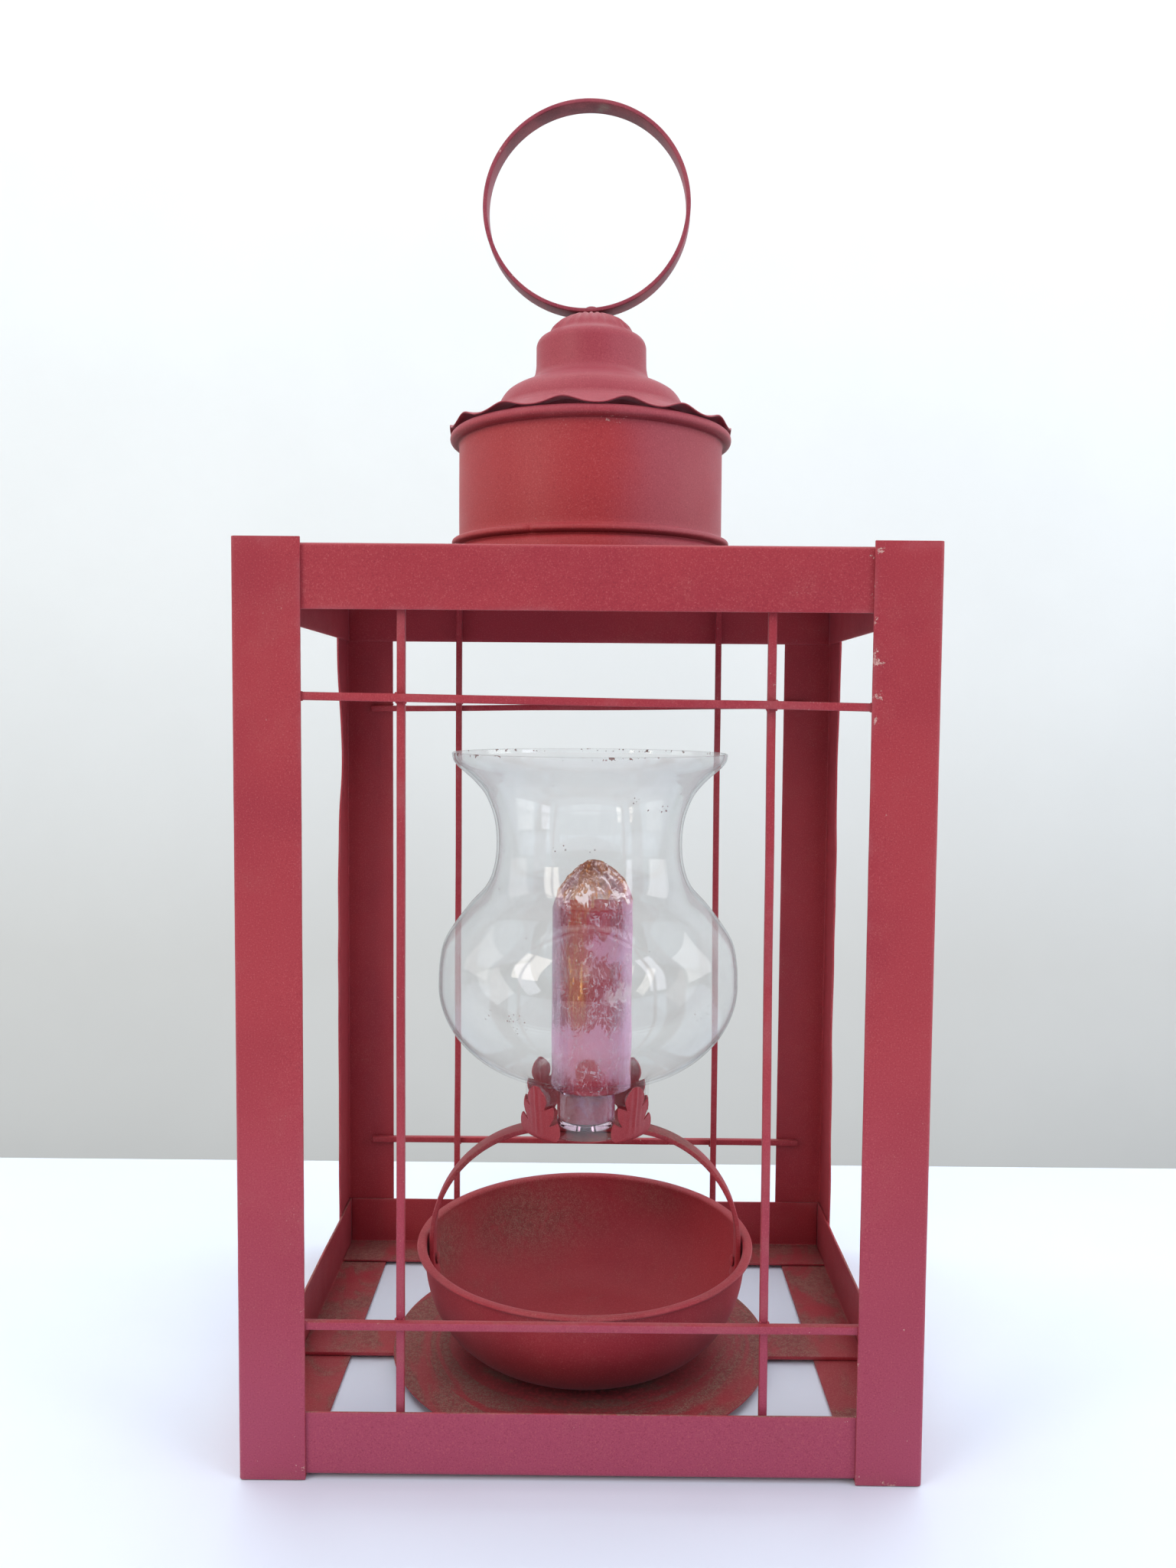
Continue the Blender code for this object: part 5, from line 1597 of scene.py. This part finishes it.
def candle():
    radius, bottom, top = CANDLE_R, CANDLE_BOTTOM, CANDLE_TOP
    profile = [(0.0, bottom + 0.5), (6.0, bottom + 0.3), (radius - 2.0, bottom)]
    profile += arc(radius - 1.4, bottom + 1.4, 1.4, 270, 360, 6)
    profile += straight((radius, bottom + 3), (radius, top - 3), 40)
    profile += arc(radius - 2.0, top - 2.0, 2.0, 0, 80, 8)
    # the hollow round the wick
    profile += [(radius - 4.0, top - 0.25), (radius - 7.0, top - 0.9), (8.0, top - 1.7),
                (4.0, top - 1.9), (2.4, top - 1.5), (1.3, top - 2.3), (1.2, top - 5.0),
                (0.0, top - 5.4)]

    def shape(radius, z, turn):
        side = np.clip((radius - 15) / 5, 0, 1)
        dent = 0.10 + 0.10 * np.sin(2 * turn + z * 0.03) + 0.06 * np.sin(5 * turn - z * 0.05)
        return radius - side * dent, z

    return solid_lathe(profile, 120, CANDLE, shape)


def wick():
    low, high = box_mm("candle_wick")
    last = WICK_LEVELS - 1
    turn = 2 * np.pi * np.arange(WICK_POINTS) / WICK_POINTS
    rings = []
    for i in range(WICK_LEVELS):
        z = low[2] + (high[2] - low[2]) * i / last
        radius = WICK_R * (1 + 0.12 * np.sin(2 * turn + z * 2.4)) * (0.55 if i in (0, last) else 1)
        rings.append(xyz(CANDLE[0] + radius * np.cos(turn), CANDLE[1] + radius * np.sin(turn), z))
    faces = band_faces(WICK_LEVELS, WICK_POINTS)
    faces.append(tuple(range(WICK_POINTS))[::-1])
    faces.append(tuple(last * WICK_POINTS + j for j in range(WICK_POINTS)))
    return np.concatenate(rings), faces


make_piece("pillar_candle", *candle(), wax("red_wax_body"), "candle", "candle", "red_wax", 50)
make_piece("braided_wick", *wick(), cotton("cotton_braid"), "candle", "candle_wick",
           "cotton_wick", 60)

FILM_R = half_width("candle_wrap")
FILM_BOTTOM = box_mm("candle_wrap")[0][2]
FILM_TOP = box_mm("candle_wrap")[1][2]
FILM_T = 0.12
FILM_SIDE_R = FILM_R - 0.05
FILM_SHOULDER = CANDLE_TOP - 1.0
FILM_SEGMENTS, SIDE_ROWS, DOME_ROWS = 240, 90, 46
FILM_STREAK = math.radians(-90 - 20)    # front, a little left of the middle
# (r, z) from the shoulder up to the gathered peak
FILM_DOME = through(((FILM_SIDE_R, FILM_SHOULDER), (21.7, 245.0), (20.6, 250.0), (17.4, 255.4),
                     (12.6, 260.0), (8.2, 263.6), (5.4, 265.2), (0.6, FILM_TOP - 0.6)), 8)


def film_rows():
    """Radius, height, and 0 on the side rising to 1 at the peak."""
    rows = []
    for i in range(SIDE_ROWS):
        z = FILM_BOTTOM + (FILM_SHOULDER - FILM_BOTTOM) * i / (SIDE_ROWS - 1)
        rows.append((FILM_SIDE_R, z, 0.0))
    for i in range(1, DOME_ROWS):
        t = i / (DOME_ROWS - 1)
        rows.append((*FILM_DOME[round(t * (len(FILM_DOME) - 1))], t))
    return rows


def film_row(radius, z, t, turn):
    """Crumples one row; returns its points and how gathered each is."""
    def crumpled(spread, height):
        return np.array([sway(math.cos(a) * spread, math.sin(a) * spread, height) for a in turn])

    # a gathered streak runs up the front
    off_streak = around(turn, FILM_STREAK) * 22.0
    width = (4.4 + 3.6 * math.exp(-((z - 204.0) / 12.0) ** 2)
             + 2.6 * math.exp(-((z - 232.0) / 9.0) ** 2) + 1.2 * math.sin(z * 0.21))
    band = np.exp(-((off_streak - 1.2 * math.sin(z * 0.05)) / width) ** 2)
    strength = 0.30 + 0.70 * min(1.0, max(0.0, (z - 178) / 8)) if z > 150 else 0.15
    hot = math.exp(-((z - 200.0) / 10.0) ** 2)
    crumple = crumpled(4.2, z * 0.055)
    fine = crumpled(13.0, z * 0.10 + 3.0)
    facet = np.abs(crumpled(2.6, z * 0.13 + 1.0))
    ridge = np.clip(1 - np.abs(crumpled(3.4, z * 0.10 + 7.0)) / 0.16, 0, 1) ** 1.5
    thread = np.clip(1 - np.abs(crumpled(15.0, z * 0.05 + 2.0)) / 0.20, 0, 1) ** 1.3
    on_dome = min(1.0, 3 * t)
    pleat = 0.55 * np.cos(17 * turn + 3.0 * crumple) + 0.45 * np.cos(9 * turn + 3.0 * fine)
    pleat = (pleat * t * (1 - 0.5 * t) * 0.9 - 2.2 * facet * on_dome
             + (1.5 * ridge - 1.0) * on_dome)
    gather = np.clip(band * strength * (0.45 + 0.30 * hot + 0.60 * thread)
                     + (0.10 + 0.30 * t ** 2 + 0.75 * ridge + 0.25 * thread) * on_dome, 0, 1)
    shift = (-0.34 * (1 + crumple) - 0.16 * (1 + fine) * (0.3 + 0.7 * gather)
             - 0.16 * (1 - thread * band))
    shift = shift * (1 + 2.4 * t) + pleat * min(1.0, 4 * t)
    # the dome slumps on the left and keeps a ridge on the right
    slump = (-1.1 * np.exp(-(around(turn, math.radians(200)) / 0.7) ** 2)
             + 0.7 * np.cos(3 * turn + 0.8) + 0.5 * np.cos(5 * turn))
    shift = shift + t * (1 - t) * 4 * slump
    radius = np.maximum(radius + np.minimum(shift, 0.0 if t == 0 else 0.25), 0.35)
    return xyz(CANDLE[0] + radius * np.cos(turn), CANDLE[1] + radius * np.sin(turn),
               z + 0.5 * crumple * t), gather


def film_sheet():
    """A sleeve with slack folds that gathers to a crumpled peak. One thin closed shell."""
    count = FILM_SEGMENTS
    turn = 2 * np.pi * np.arange(count) / count
    points, gather = zip(*(film_row(*row, turn) for row in film_rows()))
    outer = np.concatenate(points)
    inner = outer.copy()
    inner[:, :2] = CANDLE + (outer[:, :2] - CANDLE) * (1 - FILM_T / FILM_R)
    inner[:, 2] -= 0.06
    peaks = [(*CANDLE, FILM_TOP - 0.35), (*CANDLE, FILM_TOP - 0.50)]
    verts = np.concatenate([outer, inner, peaks])
    verts[:, 2] = np.clip(verts[:, 2], FILM_BOTTOM, FILM_TOP)
    base = len(outer)
    last = base - count
    pairs = [(j, (j + 1) % count) for j in range(count)]
    faces = []
    for low in range(0, last, count):
        high = low + count
        for j, k in pairs:
            faces.append((low + j, low + k, high + k, high + j))
            faces.append((base + low + k, base + low + j, base + high + j, base + high + k))
    for j, k in pairs:
        faces.append((j, base + j, base + k, k))
        faces.append((last + j, last + k, 2 * base))
        faces.append((base + last + k, base + last + j, 2 * base + 1))
    gather = np.concatenate(gather)
    return verts, faces, np.concatenate([gather, gather, [1.0, 1.0]])


verts, faces, gather = film_sheet()
make_piece("film_sleeve", verts, faces, film("clear_film_wrap"), "candle", "candle_wrap",
           "clear_film", 180, gather=gather)

# =============================================================================
# stage
# =============================================================================
STAGE_HALF_WIDTH = 4.0
# (y, z) in metres: the floor stops just behind the lantern, the wall stands well back
FLOOR_LINE = ((-1.9, -0.0004), (-0.6, -0.0004), (0.262, -0.0004), (0.266, -0.003), (0.266, -0.020))
WALL_LINE = ((1.0, -1.2), (1.0, 0.2), (1.0, 1.2), (1.0, 4.0))


def stage_material(name, colour, rough):
    graph = Graph(name)
    cloud = graph.noise(scale=3.0, detail=4, rough=0.6).ramp(start=0.3, end=0.7)
    darker = tuple(c * 0.97 for c in colour)
    return graph.finish(graph.bsdf("Principled", {
        "Base Color": graph.blend(cloud, colour, darker), "Roughness": rough}))


def stage_strip(name, line, mat):
    verts = [(x, y, z) for y, z in line for x in (-STAGE_HALF_WIDTH, STAGE_HALF_WIDTH)]
    faces = [(2 * i, 2 * i + 1, 2 * i + 3, 2 * i + 2) for i in range(len(line) - 1)]
    mesh = bpy.data.meshes.new(name)
    mesh.from_pydata(verts, [], faces)
    mesh.materials.append(mat)
    mesh.shade_smooth()
    obj = bpy.data.objects.new(name, mesh)
    SCENE.collection.objects.link(obj)


floor_tone = stage_material("pale_floor", colour=(0.765, 0.84, 0.96), rough=0.6)
wall_tone = stage_material("pale_wall", colour=(0.80, 0.84, 0.83), rough=0.7)
stage_strip("studio_floor", FLOOR_LINE, floor_tone)
stage_strip("studio_wall", WALL_LINE, wall_tone)


# =============================================================================
# light and camera
# =============================================================================
def area(name, place, target, size, power, colour):
    """A rectangular lamp turned towards a target; metres and watts."""
    data = bpy.data.lights.new(name, "AREA")
    data.shape = "RECTANGLE"
    data.size, data.size_y = size
    data.energy = power
    data.color = colour
    obj = bpy.data.objects.new(name, data)
    obj.location = place
    aim = Vector(target) - Vector(place)
    obj.rotation_euler = aim.to_track_quat("-Z", "Y").to_euler()
    SCENE.collection.objects.link(obj)
    return obj


area("soft_top", place=(0.0, 0.0, 2.2), target=(0, 0, 0), size=(2.4, 2.0), power=15.0,
     colour=(0.95, 0.97, 1.0))
area("soft_left", place=(-1.35, -1.25, 1.15), target=(0, 0, 0.38), size=(0.8, 1.5), power=15.8,
     colour=(1.0, 0.90, 0.80))
area("soft_right", place=(1.6, -1.1, 1.0), target=(0, 0, 0.3), size=(0.7, 1.7), power=11.3,
     colour=(0.93, 0.90, 1.0))
area("side_left", place=(-2.3, 0.15, 0.95), target=(0, 0, 0.35), size=(1.2, 1.6), power=7.0,
     colour=(1.0, 0.93, 0.88))
area("side_right", place=(2.3, 0.10, 0.95), target=(0, 0, 0.35), size=(1.2, 1.6), power=14.0,
     colour=(1.0, 0.97, 0.96))
fill = area("front_fill", place=(0.2, -2.4, 1.5), target=(0, 0, 0.3), size=(1.6, 1.2), power=5.0,
            colour=(1.0, 0.97, 0.95))
fill.visible_glossy = False
area("wall_wash", place=(0.0, 0.45, 2.3), target=(0, 1.0, 0.75), size=(3.2, 0.4), power=15.0,
     colour=(1.0, 1.0, 0.97))

# the sky's colour from straight down (0) to straight up (1)
SKY = (
    (0.0, (0.30, 0.28, 0.27)), (0.47, (0.34, 0.32, 0.31)), (0.51, (0.30, 0.31, 0.29)),
    (0.59, (0.36, 0.38, 0.36)), (0.64, (0.80, 0.86, 0.96)), (1.0, (0.86, 0.92, 1.0)))
SKY_STRENGTH = 0.72


def build_world():
    world = bpy.data.worlds.new("studio_world")
    SCENE.world = world
    world.use_nodes = True
    nodes, links = world.node_tree.nodes, world.node_tree.links
    nodes.clear()
    out = nodes.new("ShaderNodeOutputWorld")
    background = nodes.new("ShaderNodeBackground")
    coords = nodes.new("ShaderNodeTexCoord")
    split = nodes.new("ShaderNodeSeparateXYZ")
    ramp = nodes.new("ShaderNodeValToRGB")
    remap = nodes.new("ShaderNodeMapRange")
    remap.inputs["From Min"].default_value = -1.0
    remap.inputs["From Max"].default_value = 1.0
    elements = ramp.color_ramp.elements
    elements[0].color = (*SKY[0][1], 1)
    elements[1].color = (*SKY[-1][1], 1)
    for position, colour in SKY[1:-1]:
        elements.new(position).color = (*colour, 1)
    background.inputs["Strength"].default_value = SKY_STRENGTH
    links.new(coords.outputs["Generated"], split.inputs[0])
    links.new(split.outputs["Z"], remap.inputs["Value"])
    links.new(remap.outputs["Result"], ramp.inputs["Fac"])
    links.new(ramp.outputs["Color"], background.inputs["Color"])
    links.new(background.outputs[0], out.inputs[0])


build_world()

CAMERA_PLACE = Vector((3.04, -635.9, 343.25)) * MM
CAMERA_LENS = 27.5304246
PITCH, YAW, ROLL = (math.radians(angle) for angle in (3.393, -0.215, 0.457))


def build_camera():
    # a view frame with x to the right, y down and z ahead, then Blender's y up and z behind
    view_axes = Matrix(((1, 0, 0), (0, 0, -1), (0, 1, 0)))
    to_view = (Matrix.Rotation(ROLL, 3, "Z") @ Matrix.Rotation(PITCH, 3, "X") @ view_axes
               @ Matrix.Rotation(YAW, 3, "Z"))
    pose = to_view.transposed() @ Matrix.Diagonal((1, -1, -1))
    data = bpy.data.cameras.new("camera")
    data.sensor_fit = "AUTO"
    data.sensor_width = 36.0
    data.lens = CAMERA_LENS
    data.clip_start, data.clip_end = 0.01, 30.0
    camera = bpy.data.objects.new("camera", data)
    camera.matrix_world = Matrix.Translation(CAMERA_PLACE) @ pose.to_4x4()
    SCENE.collection.objects.link(camera)
    SCENE.camera = camera


build_camera()
SCENE.view_settings.view_transform = "Standard"
SCENE.view_settings.look = "None"
SCENE.view_settings.exposure = 0.0
